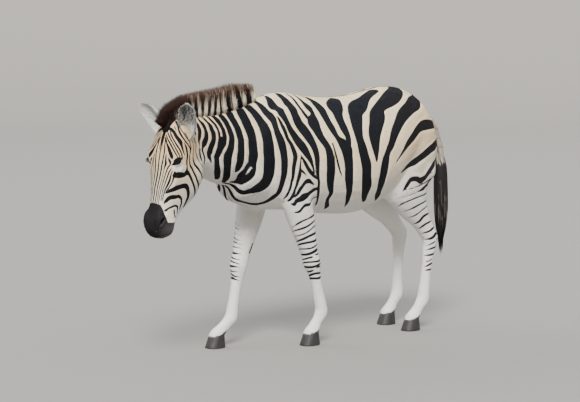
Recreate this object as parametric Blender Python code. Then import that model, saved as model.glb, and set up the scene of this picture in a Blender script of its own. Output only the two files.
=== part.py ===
"""A standing plains zebra, life size, as closed solids: head, ears, eyes, neck, mane, trunk, legs, hooves and tail.

Metres, +Z up, the ground at z = 0. The animal faces -Y, and +X is its left.
The flesh is lofted whole through sections, fused, smoothed, and then parted into its members by thin cuts.
"""

from math import cos, pi, radians, sin

import bmesh
import bpy
import numpy as np
from mathutils import Matrix, Vector

# ---------------------------------------------------------------- driving sizes

HEAD_SIZE = 0.965  # the head's tables below are for a head 0.58 m long, poll to lips; this scales them
HEAD_PITCH = radians(75)  # the face below the horizontal
HEAD_TURN = radians(11)  # the head towards the animal's left
POLL = (-1.090, 1.180)  # top of the head between the ears: y, z
NECK_BASE, NECK_REACH = -0.45, 0.60  # y where the neck starts to turn, and the length over which it turns
TURN_PIVOT = -0.50  # y about which it turns

EYE_RADIUS = 0.0220
SOCKET_RADIUS = EYE_RADIUS * 1.08
EYE_AT = (0.200, 0.026, 0.078)  # down the face, below its front line, to the side
NOSTRIL_AT = (0.500, 0.020, 0.048)
NOSTRIL_RADII = (0.008, 0.020, 0.016)
EAR_LENGTH = 0.212
EAR_AT = (0.058, 0.082, 0.075)

MANE_HEIGHT = 0.135
MANE_THICK = 0.040
MANE_ROOT = 0.030  # how far it starts below the crest

VOXEL = 0.007  # size of the cells that fuse the flesh
GAP = 0.0004  # clear space between neighbouring solids
CUT = 0.0005  # thickness of a parting cut
RING = 40  # points round a lofted section

LIGHT = (0.80, 0.74, 0.64, 1.0)
DARK = (0.035, 0.030, 0.030, 1.0)
HORN = (0.10, 0.09, 0.085, 1.0)

# Sections of the trunk, front to back. Each has its top and its underside in side view, its half width,
# how far up the widest level lies, and how round it is above and below that level (2 is an ellipse).
#    top y, top z   low y, low z   half   widest above below
TRUNK = (
    (-0.665, 1.000, -0.660, 0.880, 0.050, 0.50, 2.0, 2.0),  # breast
    (-0.625, 1.110, -0.640, 0.800, 0.120, 0.48, 2.0, 2.0),
    (-0.520, 1.215, -0.550, 0.735, 0.180, 0.46, 1.9, 2.1),  # point of the shoulder
    (-0.400, 1.278, -0.420, 0.705, 0.215, 0.45, 1.7, 2.1),
    (-0.290, 1.290, -0.300, 0.695, 0.243, 0.45, 1.75, 2.1),  # withers
    (-0.170, 1.270, -0.170, 0.680, 0.272, 0.46, 1.9, 2.1),
    (0.000, 1.258, 0.000, 0.655, 0.298, 0.47, 2.0, 2.1),  # barrel
    (0.150, 1.263, 0.150, 0.652, 0.300, 0.48, 2.0, 2.1),
    (0.290, 1.286, 0.290, 0.690, 0.282, 0.50, 2.0, 2.0),  # flank
    (0.400, 1.304, 0.410, 0.760, 0.258, 0.52, 2.0, 2.0),  # croup
    (0.510, 1.292, 0.520, 0.820, 0.228, 0.52, 2.0, 2.0),
    (0.610, 1.235, 0.620, 0.865, 0.180, 0.52, 2.0, 2.0),
    (0.680, 1.145, 0.685, 0.930, 0.110, 0.52, 2.0, 2.0),  # buttock
    (0.705, 1.070, 0.705, 1.000, 0.040, 0.50, 2.0, 2.0),
)
NECK = (
    (-0.360, 1.270, -0.560, 0.820, 0.170, 0.42, 1.6, 2.1),
    (-0.470, 1.252, -0.670, 0.840, 0.152, 0.42, 1.6, 2.1),
    (-0.600, 1.214, -0.760, 0.865, 0.132, 0.44, 1.6, 2.1),
    (-0.740, 1.194, -0.825, 0.890, 0.114, 0.46, 1.7, 2.1),
    (-0.880, 1.190, -0.870, 0.915, 0.101, 0.48, 1.8, 2.1),
    (-1.000, 1.186, -0.915, 0.945, 0.091, 0.50, 2.0, 2.1),
    (-1.070, 1.150, -0.975, 0.990, 0.070, 0.50, 2.0, 2.1),
)
# Sections of the head, poll to lips: distance down the face, rise of its front line, depth from front to jaw,
# half width, how far forward the widest level lies, and roundness in front and behind.
HEAD = (
    (-0.010, -0.030, 0.100, 0.045, 0.60, 2.2, 2.0),
    (0.020, -0.004, 0.165, 0.076, 0.62, 2.3, 2.0),
    (0.070, 0.012, 0.225, 0.092, 0.68, 2.4, 1.9),
    (0.140, 0.018, 0.264, 0.098, 0.74, 2.5, 1.8),
    (0.200, 0.014, 0.280, 0.096, 0.76, 2.5, 2.0),  # eyes
    (0.260, 0.006, 0.282, 0.090, 0.72, 2.5, 2.4),  # cheeks and the angle of the jaw
    (0.320, 0.000, 0.256, 0.081, 0.66, 2.4, 2.7),
    (0.380, -0.004, 0.208, 0.069, 0.60, 2.3, 2.6),
    (0.430, -0.004, 0.166, 0.062, 0.56, 2.3, 2.4),
    (0.480, 0.000, 0.143, 0.065, 0.54, 2.4, 2.3),  # nostrils
    (0.525, -0.003, 0.128, 0.068, 0.52, 2.4, 2.4),
    (0.560, -0.020, 0.096, 0.056, 0.50, 2.4, 2.4),
    (0.580, -0.044, 0.044, 0.026, 0.50, 2.0, 2.0),  # lips
)

# Leg bones from the ground up: pastern, cannon, forearm or gaskin, and upper arm or thigh.
FORE_BONES = (0.115, 0.265, 0.345, 0.200)
HIND_BONES = (0.115, 0.330, 0.340, 0.240)
# Sections up a leg: bone, share of its length, reach to the front and to the back, half width.
FORELEG = (
    (0, 0.00, 0.036, 0.034, 0.035),  # coronet
    (0, 0.45, 0.026, 0.028, 0.0255),
    (0, 0.95, 0.029, 0.038, 0.030),  # fetlock
    (1, 0.20, 0.027, 0.035, 0.026),
    (1, 0.50, 0.025, 0.031, 0.024),
    (1, 0.82, 0.033, 0.036, 0.030),
    (2, 0.00, 0.048, 0.043, 0.041),  # knee
    (2, 0.14, 0.046, 0.043, 0.039),
    (2, 0.40, 0.056, 0.055, 0.045),
    (2, 0.75, 0.076, 0.078, 0.057),
    (3, 0.00, 0.085, 0.085, 0.062),  # elbow
    (3, 0.50, 0.105, 0.110, 0.066),
    (3, 1.00, 0.080, 0.100, 0.045),
)
HINDLEG = (
    (0, 0.00, 0.036, 0.034, 0.035),
    (0, 0.45, 0.027, 0.028, 0.026),
    (0, 0.95, 0.030, 0.040, 0.031),
    (1, 0.18, 0.027, 0.034, 0.026),
    (1, 0.50, 0.026, 0.030, 0.024),
    (1, 0.80, 0.033, 0.038, 0.029),
    (1, 1.00, 0.043, 0.050, 0.036),  # hock
    (2, 0.14, 0.040, 0.056, 0.033),
    (2, 0.34, 0.046, 0.066, 0.038),
    (2, 0.65, 0.078, 0.108, 0.058),
    (3, 0.00, 0.120, 0.175, 0.080),  # stifle
    (3, 0.50, 0.140, 0.200, 0.088),
    (3, 1.00, 0.110, 0.170, 0.050),
)
# Each leg: table, bones, sole's place (x, y) and each bone's lean backwards as it goes up, in degrees.
LEGS = {
    "foreleg_left": (FORELEG, FORE_BONES, (0.125, -0.195), (30, -15, -19, 5)),
    "foreleg_right": (FORELEG, FORE_BONES, (-0.120, -0.617), (49, 13, 17, 0)),
    "hindleg_left": (HINDLEG, HIND_BONES, (0.120, 0.520), (36, 7, -38, 12)),
    "hindleg_right": (HINDLEG, HIND_BONES, (-0.120, 0.565), (34, 4, -42, 10)),
}
CORONET_HEIGHT, CORONET_BACK = 0.068, 0.012  # its middle, above and behind the middle of the sole
HOOF_TOE, HOOF_HEEL, HOOF_HALF = 0.062, 0.050, 0.046
LEG_SPLAY = 0.030  # how much further out the elbow or stifle lies than the foot

# Muscles and bones that swell out of the lofts: centre, radii, tilt about X in degrees.
MASSES = (
    ((0.125, -0.400, 1.000), (0.085, 0.170, 0.240), -25),  # shoulder blade
    ((0.110, -0.500, 0.910), (0.075, 0.110, 0.130), -20),  # point of the shoulder
    ((0.135, -0.330, 0.850), (0.085, 0.120, 0.120), 0),  # back of the upper arm
    ((0.125, 0.470, 1.000), (0.110, 0.200, 0.220), 20),  # haunch
    ((0.110, 0.370, 0.880), (0.085, 0.130, 0.140), 0),  # stifle
    ((0.095, 0.590, 0.930), (0.075, 0.095, 0.160), 10),  # back of the thigh
)
# Bones and muscles of the head: distance down the face, depth below its front line, side; radii likewise.
HEAD_MASSES = (
    ((0.170, 0.018, 0.074), (0.046, 0.030, 0.024)),  # brow over the eye
    ((0.232, 0.056, 0.076), (0.042, 0.026, 0.018)),  # rim under the eye
    ((0.230, 0.170, 0.050), (0.090, 0.088, 0.038)),  # cheek
    ((0.300, 0.080, 0.062), (0.085, 0.016, 0.014)),  # crest of the cheek bone
    ((0.490, 0.026, 0.038), (0.048, 0.032, 0.024)),  # wing of the nostril
    ((0.525, 0.098, 0.000), (0.036, 0.030, 0.042)),  # chin
)


# The dock of the tail: y, z, reach forward and back, half width. The tuft hangs round its lower part.
TAIL_BONE = (
    (0.620, 1.155, 0.040, 0.040, 0.045),
    (0.700, 1.135, 0.032, 0.032, 0.036),
    (0.775, 1.075, 0.026, 0.026, 0.028),
    (0.818, 0.985, 0.022, 0.022, 0.023),
    (0.836, 0.880, 0.019, 0.019, 0.020),
    (0.838, 0.780, 0.016, 0.016, 0.016),
)
TAIL_HAIR = (
    (0.824, 0.950, 0.012, 0.028, 0.018),
    (0.826, 0.880, 0.034, 0.046, 0.036),
    (0.826, 0.760, 0.046, 0.050, 0.044),
    (0.822, 0.620, 0.044, 0.046, 0.042),
    (0.816, 0.520, 0.030, 0.032, 0.030),
    (0.812, 0.430, 0.008, 0.008, 0.008),
)
TAIL_SWING = 0.06  # how far the tail hangs towards the left for each metre of its fall

# The crest that the mane stands on, from the forehead back: y, z. Then its height by share of the way.
MANE_LINE = (
    (-1.130, 1.130),
    (-1.095, 1.168),
    (-1.020, 1.180),
    (-0.900, 1.182),
    (-0.800, 1.184),
    (-0.680, 1.192),
    (-0.570, 1.220),
    (-0.460, 1.255),
)
MANE_PROFILE = ((0.0, 0.30), (0.10, 0.55), (0.3, 0.80), (0.6, 1.0), (0.8, 1.0), (1.0, 0.68))

# Along the ear: share of its length, half width, depth of the cup, half the angle it wraps, wall.
EAR_SHAPE = (
    (0.00, 0.027, 0.025, 2.90, 0.008),
    (0.12, 0.031, 0.028, 2.50, 0.008),
    (0.30, 0.042, 0.033, 1.95, 0.007),
    (0.50, 0.048, 0.032, 1.60, 0.0065),
    (0.70, 0.044, 0.027, 1.45, 0.006),
    (0.87, 0.030, 0.018, 1.35, 0.005),
    (1.00, 0.006, 0.007, 1.20, 0.003),
)
EAR_SPLAY, EAR_LEAN = 0.60, -0.60
EAR_OPEN = {1: (0.60, -0.80, -0.22), -1: (0.20, -1.00, -0.15)}  # where each cup faces, left and right
EAR_CURL, EAR_ROOT, EAR_BACK = 0.006, 0.015, 0.012
EAR_EDGE = 0.06  # how much less far round the inner face of the wall reaches, radians

SOLE_KEPT = 0.006  # flesh below this height is pressed onto the ground
TAIL_FROM = 0.715  # y behind which the flesh is the tail
HEAD_TRIANGLES, LEG_TRIANGLES, TRUNK_TRIANGLES = 1120, 1200, 530

# Where the flesh is parted, in side view (x, y, z).
NAPE, THROAT = (0, -1.010, 1.200), (0, -0.845, 0.880)
WITHERS_FRONT, BREAST = (0, -0.440, 1.290), (0, -0.690, 0.800)
TAIL_ROOT_TOP, TAIL_ROOT_LOW = (0, 0.715, 1.200), (0, 0.738, 0.950)
# The bell that takes each leg out of the trunk, bottom up: front y, back y, z, inner x, outer x.
FORE_BELL = (
    (-0.860, 0.020, -0.060, 0.010, 0.330),
    (-0.520, -0.160, 0.560, 0.012, 0.320),
    (-0.530, -0.180, 0.700, 0.012, 0.320),
    (-0.525, -0.220, 0.820, 0.030, 0.320),
    (-0.500, -0.270, 0.920, 0.070, 0.310),
    (-0.460, -0.330, 0.990, 0.120, 0.290),
    (-0.420, -0.380, 1.020, 0.180, 0.250),
)
HIND_BELL = (
    (0.340, 0.745, -0.060, 0.010, 0.340),
    (0.290, 0.735, 0.600, 0.012, 0.340),
    (0.270, 0.735, 0.720, 0.012, 0.340),
    (0.280, 0.735, 0.850, 0.016, 0.340),
    (0.320, 0.700, 0.960, 0.060, 0.335),
    (0.390, 0.630, 1.040, 0.130, 0.320),
    (0.470, 0.560, 1.080, 0.200, 0.280),
)
HOOF_CUT = 0.066
LABELS = {
    "head": (0.08, -1.05, 0.90),
    "neck": (0.02, -0.75, 1.03),
    "trunk": (0.0, 0.1, 1.0),
    "tail": (0.01, 0.79, 0.95),
}


# ---------------------------------------------------------------- mesh helpers


def object_from(name, points, faces):
    """A mesh object from arrays of points and faces."""
    mesh = bpy.data.meshes.new(name)
    mesh.from_pydata([tuple(p) for p in points], [], [tuple(f) for f in faces])
    mesh.update()
    body = bpy.data.objects.new(name, mesh)
    bpy.context.scene.collection.objects.link(body)
    return body


def evaluated(body, modifiers):
    """Applies modifiers, given as (type, settings), and returns the object with its new mesh."""
    for kind, settings in modifiers:
        modifier = body.modifiers.new(kind.title(), kind)
        for setting, value in settings.items():
            setattr(modifier, setting, value)
    bpy.context.view_layer.update()
    graph = bpy.context.evaluated_depsgraph_get()
    made = bpy.data.meshes.new_from_object(body.evaluated_get(graph))
    body.modifiers.clear()
    old = body.data
    body.data = made
    bpy.data.meshes.remove(old)
    return body


def coordinates(body):
    points = np.empty(len(body.data.vertices) * 3, np.float32)
    body.data.vertices.foreach_get("co", points)
    return points.reshape(-1, 3).astype(float)


def spline(rows, count):
    """Rows of numbers joined by a smooth curve through them, read at `count` even steps."""
    rows = np.array(rows, float)
    middles = (rows[:, 0:3] + rows[:, 3:6]) / 2
    knots = np.concatenate([[0], np.cumsum(np.linalg.norm(np.diff(middles, axis=0), axis=1))])
    slopes = np.gradient(rows, knots, axis=0)
    at = np.linspace(0, knots[-1], count)
    i = np.clip(np.searchsorted(knots, at, side="right") - 1, 0, len(knots) - 2)
    span = (knots[i + 1] - knots[i])[:, None]
    u = (at - knots[i])[:, None] / span
    return (
        rows[i] * (1 + 2 * u) * (1 - u) ** 2
        + rows[i + 1] * u**2 * (3 - 2 * u)
        + span * (slopes[i] * u * (1 - u) ** 2 + slopes[i + 1] * u**2 * (u - 1))
    )


def loft(name, rows, count, ring=RING, sideways=(1, 0, 0)):
    """A closed tube through sections: front or top point, back or low point, half width, level of the
    widest place, and roundness on either side of it. The sections' width lies along `sideways`."""
    rows = spline(rows, count)
    top, low = rows[:, 0:3], rows[:, 3:6]
    half, wide, above, below = (rows[:, k, None] for k in (6, 7, 8, 9))
    angle = np.arange(ring) * 2 * pi / ring
    c, s = np.cos(angle)[None, :], np.sin(angle)[None, :]
    power = np.where(s >= 0, 2 / above, 2 / below)
    across = half * np.sign(c) * np.abs(c) ** power
    reach = np.where(s >= 0, 1 - wide, wide) * np.sign(s) * np.abs(s) ** power + wide
    points = low[:, None, :] + reach[:, :, None] * (top - low)[:, None, :]
    if sideways is None:  # the neck and head turn, so each ring has its own sideways direction
        along = np.gradient((top + low) / 2, axis=0)
        side = np.cross(along, top - low)
    else:
        side = np.tile(np.array(sideways, float), (count, 1))
    side /= np.linalg.norm(side, axis=1)[:, None]
    points = points + across[:, :, None] * side[:, None, :]
    ends = [points[0].mean(0), points[-1].mean(0)]
    points = np.concatenate([points.reshape(-1, 3), ends])
    first, last = count * ring, count * ring + 1
    faces = []
    for i in range(count - 1):
        for k in range(ring):
            a, b = i * ring + k, i * ring + (k + 1) % ring
            faces.append((a, b, b + ring, a + ring))
    for k in range(ring):
        n = (k + 1) % ring
        faces.append((first, n, k))
        faces.append((last, (count - 1) * ring + k, (count - 1) * ring + n))
    body = object_from(name, points, faces)
    face_out(body)
    return body


def face_out(body):
    mesh = bmesh.new()
    mesh.from_mesh(body.data)
    bmesh.ops.recalc_face_normals(mesh, faces=mesh.faces)
    mesh.to_mesh(body.data)
    mesh.free()


def ellipsoid(name, centre, radii, turn=None, detail=4):
    mesh = bmesh.new()
    bmesh.ops.create_icosphere(mesh, subdivisions=detail, radius=1)
    matrix = Matrix.Translation(centre) @ (turn or Matrix()) @ Matrix.Diagonal((*radii, 1))
    bmesh.ops.transform(mesh, matrix=matrix, verts=mesh.verts)
    data = bpy.data.meshes.new(name)
    mesh.to_mesh(data)
    mesh.free()
    body = bpy.data.objects.new(name, data)
    bpy.context.scene.collection.objects.link(body)
    return body


def joined(name, bodies):
    """One object that holds the meshes of all of them."""
    mesh = bmesh.new()
    for body in bodies:
        mesh.from_mesh(body.data)
        bpy.data.objects.remove(body)
    data = bpy.data.meshes.new(name)
    mesh.to_mesh(data)
    mesh.free()
    body = bpy.data.objects.new(name, data)
    bpy.context.scene.collection.objects.link(body)
    return body


# ---------------------------------------------------------------- head frame and turn


def turned(point, share=None):
    """A point of the neck or head, swung towards the left about the base of the neck, more so further on."""
    x, y, z = point
    if share is None:
        share = min(max((NECK_BASE - y) / NECK_REACH, 0), 1)
    angle = HEAD_TURN * share
    y -= TURN_PIVOT
    return (x * cos(angle) - y * sin(angle), x * sin(angle) + y * cos(angle) + TURN_PIVOT, z)


def on_head(down, below, side=0.0):
    """A place on the head: distance down the face from the poll, below its front line, and to the left."""
    down, below, side = down * HEAD_SIZE, below * HEAD_SIZE, side * HEAD_SIZE
    y = POLL[0] - cos(HEAD_PITCH) * down + sin(HEAD_PITCH) * below
    z = POLL[1] - sin(HEAD_PITCH) * down - cos(HEAD_PITCH) * below
    return turned((side, y, z), 1.0)


def head_turn():
    """Rotation that takes (left, forward, up) of a level head to the posed one."""
    return Matrix.Rotation(HEAD_TURN, 4, "Z") @ Matrix.Rotation(HEAD_PITCH, 4, "X")


# ---------------------------------------------------------------- lofts


def trunk_loft():
    rows = [(0, ty, tz, 0, ly, lz, *rest) for ty, tz, ly, lz, *rest in TRUNK]
    return loft("trunk_loft", rows, 90, ring=64)


def neck_loft():
    rows = [(*turned((0, ty, tz)), *turned((0, ly, lz)), *rest) for ty, tz, ly, lz, *rest in NECK]
    return loft("neck_loft", rows, 60, ring=56, sideways=None)


def head_loft():
    rows = []
    for down, rise, depth, half, *rest in HEAD:
        rows.append((*on_head(down, -rise), *on_head(down, depth - rise), half * HEAD_SIZE, *rest))
    return loft("head_loft", rows, 90, ring=56, sideways=(cos(HEAD_TURN), sin(HEAD_TURN), 0))


def leg_joints(bones, foot, leans):
    """Joints of a leg from the coronet up, each bone leaning back by its angle."""
    x, y = foot
    joints = [Vector((x, y + CORONET_BACK, CORONET_HEIGHT))]
    outward = LEG_SPLAY * (1 if x > 0 else -1)
    height = sum(bones)
    for length, lean in zip(bones, leans):
        step = Vector((outward * length / height, sin(radians(lean)) * length, cos(radians(lean)) * length))
        joints.append(joints[-1] + step)
    return joints


def leg_rows(table, bones, foot, leans):
    joints = leg_joints(bones, foot, leans)
    centres = np.array([joints[b].lerp(joints[b + 1], share) for b, share, *_ in table])
    along = np.gradient(centres, axis=0)
    rows = []
    for centre, step, (_, _, front, back, half) in zip(centres, along, table):
        forward = np.array((0, -step[2], step[1]))
        forward /= np.linalg.norm(forward)
        rows.append((*(centre + forward * front), *(centre - forward * back), half, back / (front + back), 2, 2))
    return rows


def leg_loft(name):
    table, bones, foot, leans = LEGS[name]
    return loft(name + "_loft", leg_rows(table, bones, foot, leans), 90, ring=36)


def hoof_loft(name):
    """From inside the coronet down to a flat sole, wider than it is tall."""
    x, y = LEGS[name][2]
    rows = (
        (x, y - 0.020, 0.090, x, y + 0.040, 0.078, 0.030, 0.5, 2, 2),
        (x, y - 0.030, 0.075, x, y + 0.046, 0.058, 0.036, 0.5, 2.1, 2.1),
        (x, y - 0.046, 0.038, x, y + 0.049, 0.030, 0.041, 0.5, 2.2, 2.3),
        (x, y - HOOF_TOE, 0.0, x, y + HOOF_HEEL, 0.0, HOOF_HALF, 0.5, 2.2, 2.4),
    )
    return loft(name + "_hoof_loft", rows, 12, ring=36)


def masses():
    found = []
    for i, (centre, radii, tilt) in enumerate(MASSES):
        for side in (1, -1):
            at = (centre[0] * side, centre[1], centre[2])
            found.append(ellipsoid(f"mass_{i}_{side}", at, radii, Matrix.Rotation(radians(tilt), 4, "X")))
    for i, ((down, below, side), (along, deep, wide)) in enumerate(HEAD_MASSES):
        for sign in (1, -1) if side else (1,):
            at = on_head(down, below, side * sign)
            radii = (wide * HEAD_SIZE, along * HEAD_SIZE, deep * HEAD_SIZE)
            found.append(ellipsoid(f"head_mass_{i}_{sign}", at, radii, head_turn()))
    return found


def tail_loft():
    rows = []
    for y, z, front, back, half in TAIL_BONE:
        rows.append((TAIL_SWING * max(0, TAIL_BONE[0][1] - z), y, z, front, back, half))
    centres = np.array([row[:3] for row in rows])
    along = np.gradient(centres, axis=0)
    sections = []
    for centre, step, row in zip(centres, along, rows):
        forward = np.array((0, step[2], -step[1]))
        forward /= np.linalg.norm(forward)
        front, back, half = row[3:]
        sections.append((*(centre + forward * front), *(centre - forward * back), half, 0.5, 2, 2))
    return loft("tail_loft", sections, 50, ring=24)


def flesh():
    """The whole body as one smooth closed mesh."""
    lofts = [trunk_loft(), neck_loft(), head_loft(), *(leg_loft(n) for n in LEGS), *masses()]
    lofts += [hoof_loft(n) for n in LEGS] + [tail_loft()]
    whole = joined("whole", lofts)
    evaluated(whole, [("REMESH", {"mode": "VOXEL", "voxel_size": VOXEL})])
    points = coordinates(whole)
    head, leg, tail = head_share(points), leg_share(points), points[:, 1] > TAIL_FROM
    ground = points[:, 2] < SOLE_KEPT
    weigh(whole, "everywhere", np.where(ground, 0, np.where(head > 0.5, 0.75, 1)))
    weigh(whole, "bulk", (1 - head) * (1 - leg) * (1 - tail))
    light = {"factor": 0.5, "iterations": 7, "vertex_group": "everywhere"}
    blend = {"factor": 0.8, "iterations": 45, "vertex_group": "bulk"}
    evaluated(whole, [("SMOOTH", light), ("SMOOTH", blend)])
    thin_out(whole, head_share, HEAD_TRIANGLES)
    thin_out(whole, leg_share, LEG_TRIANGLES)
    thin_out(whole, lambda at: (head_share(at) < 0.5) & (leg_share(at) < 0.5), TRUNK_TRIANGLES)
    flatten_soles(whole)
    return whole


def weigh(body, name, shares):
    old = body.vertex_groups.get(name)
    if old:
        body.vertex_groups.remove(old)
    group = body.vertex_groups.new(name=name)
    for i, share in enumerate(shares):
        group.add([i], float(share), "REPLACE")


def thin_out(body, share_of, wanted):
    """Fewer triangles, down to `wanted`, where `share_of` the points is over one half."""
    evaluated(body, [("TRIANGULATE", {})])
    chosen = np.asarray(share_of(coordinates(body))) > 0.5
    weigh(body, "chosen", chosen)
    corners = np.array([face.vertices[:] for face in body.data.polygons])
    inside = chosen[corners].all(1).sum()
    ratio = (len(corners) - inside + wanted) / len(corners)
    evaluated(body, [("DECIMATE", {"ratio": ratio, "vertex_group": "chosen", "vertex_group_factor": 0.001})])


def head_share(points):
    """1 on the head, falling to 0 on the neck behind it."""
    behind = points[:, 1] - (POLL[0] + 0.05)
    jaw = np.clip((1.04 - points[:, 2]) / 0.10, 0, 1) * 0.16
    return np.clip(1 - (behind - jaw) / 0.06, 0, 1) * (points[:, 2] > 0.5)


def leg_share(points):
    """1 on the lower legs, falling to 0 on the shoulder and the haunch."""
    return np.clip((0.85 - points[:, 2]) / 0.25, 0, 1) * np.clip((points[:, 1] + 0.80) / 0.10, 0, 1)


def flatten_soles(whole):
    """Every point near the ground is set on it, so that the soles are flats at one level."""
    for vertex in whole.data.vertices:
        if vertex.co.z < SOLE_KEPT:
            vertex.co.z = 0.0


def cutter(name, centre, normal, half_sizes):
    """A thin slab across the flesh, facing along `normal`."""
    mesh = bmesh.new()
    bmesh.ops.create_cube(mesh, size=2)
    turn = Vector(normal).to_track_quat("Z", "Y").to_matrix().to_4x4()
    matrix = Matrix.Translation(centre) @ turn @ Matrix.Diagonal((*half_sizes, CUT / 2, 1))
    bmesh.ops.transform(mesh, matrix=matrix, verts=mesh.verts)
    data = bpy.data.meshes.new(name)
    mesh.to_mesh(data)
    mesh.free()
    body = bpy.data.objects.new(name, data)
    bpy.context.scene.collection.objects.link(body)
    return body


def slabs():
    """Thin cuts that part the head, the neck and the tail."""
    return [
        across("cut_head", turned(NAPE), turned(THROAT), 0.20),
        across("cut_neck", WITHERS_FRONT, BREAST, 0.30),
        across("cut_tail", TAIL_ROOT_TOP, TAIL_ROOT_LOW, 0.12),
    ]


def bell(name, shrink):
    """A domed tube round the upper leg, open air below; `shrink` draws its wall inwards."""
    side = 1 if name.endswith("left") else -1
    rows = []
    for front, back, z, inner, outer in FORE_BELL if name.startswith("fore") else HIND_BELL:
        x, half = side * (inner + outer) / 2, (outer - inner) / 2
        rows.append((x, front + shrink, z - shrink, x, back - shrink, z - shrink, half - shrink, 0.5, 2.6, 2.6))
    # The same diagonals in both of a leg's bells keep their walls apart.
    return evaluated(loft("bell_" + name, rows, 11, ring=16), [("TRIANGULATE", {"quad_method": "FIXED"})])


def twin(body, name, grow=0.0):
    """A copy of a body, its surface moved out by `grow`."""
    copy = body.copy()
    copy.data = body.data.copy()
    copy.name = name
    bpy.context.scene.collection.objects.link(copy)
    if grow:
        evaluated(copy, [("DISPLACE", {"strength": grow, "mid_level": 0.0})])
    return copy


def take_leg(whole, name):
    """Parts one leg, with its shoulder or haunch, from the whole, and its hoof from the leg."""
    leg = twin(whole, name)
    cut(leg, bell(name, CUT), "INTERSECT")
    cut(whole, bell(name, 0.0))
    x, y = LEGS[name][2]
    cut(leg, cutter("coronet", (x, y, HOOF_CUT), (0, -0.30, 1), (0.075, 0.095)))
    low, high = sorted(island_objects(leg), key=lambda body: middle(body)[2])
    bpy.data.objects.remove(leg)
    high.name = name
    low.name = name.replace("foreleg", "hoof_fore").replace("hindleg", "hoof_hind")


def across(name, top, low, half):
    """A slab through two points of the side view and through the sideways direction."""
    top, low = Vector(top), Vector(low)
    normal = (top - low).cross(Vector((1, 0, 0)))
    return cutter(name, (top + low) / 2, normal, (half, (top - low).length * 0.75))


def cut(body, tool, operation="DIFFERENCE", keep=False):
    evaluated(body, [("BOOLEAN", {"object": tool, "operation": operation, "solver": "EXACT"})])
    if not keep:
        bpy.data.objects.remove(tool)


def island_objects(body):
    """The separate bodies of one mesh, each as an object of its own."""
    mesh = bmesh.new()
    mesh.from_mesh(body.data)
    seen, found = set(), []
    for seed in mesh.verts:
        if seed in seen:
            continue
        island, queue = [], [seed]
        seen.add(seed)
        while queue:
            vertex = queue.pop()
            island.append(vertex)
            for edge in vertex.link_edges:
                other = edge.other_vert(vertex)
                if other not in seen:
                    seen.add(other)
                    queue.append(other)
        index = {vertex: i for i, vertex in enumerate(island)}
        faces = {face for vertex in island for face in vertex.link_faces}
        faces = sorted(faces, key=lambda face: face.index)
        points = [vertex.co.copy() for vertex in island]
        found.append(object_from("island", points, [[index[v] for v in face.verts] for face in faces]))
    mesh.free()
    return found


def middle(body):
    points = coordinates(body)
    return (points.min(0) + points.max(0)) / 2


def part_trunk(whole):
    """Parts what the legs have left; each member is the piece whose middle is nearest its label."""
    for slab in slabs():
        cut(whole, slab)
    pieces = island_objects(whole)
    bpy.data.objects.remove(whole)
    for name, place in LABELS.items():
        nearest = min(pieces, key=lambda body: np.linalg.norm(middle(body) - np.array(place)))
        nearest.name = name
        pieces.remove(nearest)
    for crumb in pieces:
        bpy.data.objects.remove(crumb)


# ---------------------------------------------------------------- ears, eyes, mane and tail tuft


def ear(side):
    """A leaf-shaped cup with a wall of even thickness, closed to a tube at its base."""
    name = "ear_left" if side > 0 else "ear_right"
    axis = Vector((EAR_SPLAY * side, EAR_LEAN, 1)).normalized()
    opening = Vector(EAR_OPEN[side])
    opening = (opening - opening.dot(axis) * axis).normalized()
    across_ear = axis.cross(opening)
    root = Vector(on_head(EAR_AT[0], EAR_AT[1], EAR_AT[2] * side))
    rings = []
    levels, arc = 9, 8
    for i in range(levels):
        u = i / (levels - 1)
        width, depth, spread, wall = (ear_profile(u, k) for k in range(4))
        bend = EAR_CURL * u * u
        centre = root + axis * (u * EAR_LENGTH - EAR_ROOT) + across_ear * (bend * side) - opening * EAR_BACK * u
        ring = []
        for k in range(arc):
            angle = spread * (2 * k / (arc - 1) - 1)
            ring.append(centre + across_ear * (width * sin(angle)) - opening * (depth * cos(angle)))
        for k in reversed(range(arc)):
            angle = (spread - EAR_EDGE) * (2 * k / (arc - 1) - 1)
            inner_w, inner_d = max(width - wall, 0.0012), max(depth - wall, 0.0008)
            ring.append(centre + across_ear * (inner_w * sin(angle)) - opening * (inner_d * cos(angle)))
        rings.append(ring)
    return closed_rings(name, rings)


def ear_profile(u, which):
    """Half width, depth, half opening angle and wall of the ear at a share of its length."""
    stations = np.array(EAR_SHAPE)
    return float(np.interp(u, stations[:, 0], stations[:, 1 + which]))


def closed_rings(name, rings):
    count = len(rings[0])
    points = [p for ring in rings for p in ring]
    ends = [sum(rings[0], Vector()) / count, sum(rings[-1], Vector()) / count]
    points += ends
    faces = []
    for i in range(len(rings) - 1):
        for k in range(count):
            a, b = i * count + k, i * count + (k + 1) % count
            faces.append((a, b, b + count, a + count))
    first, last = len(points) - 2, len(points) - 1
    for k in range(count):
        n = (k + 1) % count
        faces.append((first, n, k))
        faces.append((last, (len(rings) - 1) * count + k, (len(rings) - 1) * count + n))
    body = object_from(name, points, faces)
    face_out(body)
    return body


def eye(side):
    name = "eye_left" if side > 0 else "eye_right"
    return ellipsoid(name, on_head(*EYE_AT[:2], EYE_AT[2] * side), (EYE_RADIUS,) * 3, detail=3)


def socket(side):
    return ellipsoid("socket", on_head(*EYE_AT[:2], EYE_AT[2] * side), (SOCKET_RADIUS,) * 3, detail=2)


def nostril_hole(side):
    turn = head_turn() @ Matrix.Rotation(radians(50 * side), 4, "Y") @ Matrix.Rotation(radians(-25 * side), 4, "Z")
    at = on_head(NOSTRIL_AT[0], NOSTRIL_AT[1], NOSTRIL_AT[2] * side)
    return ellipsoid(f"nostril_{side}", at, NOSTRIL_RADII, turn, detail=2)


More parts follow.
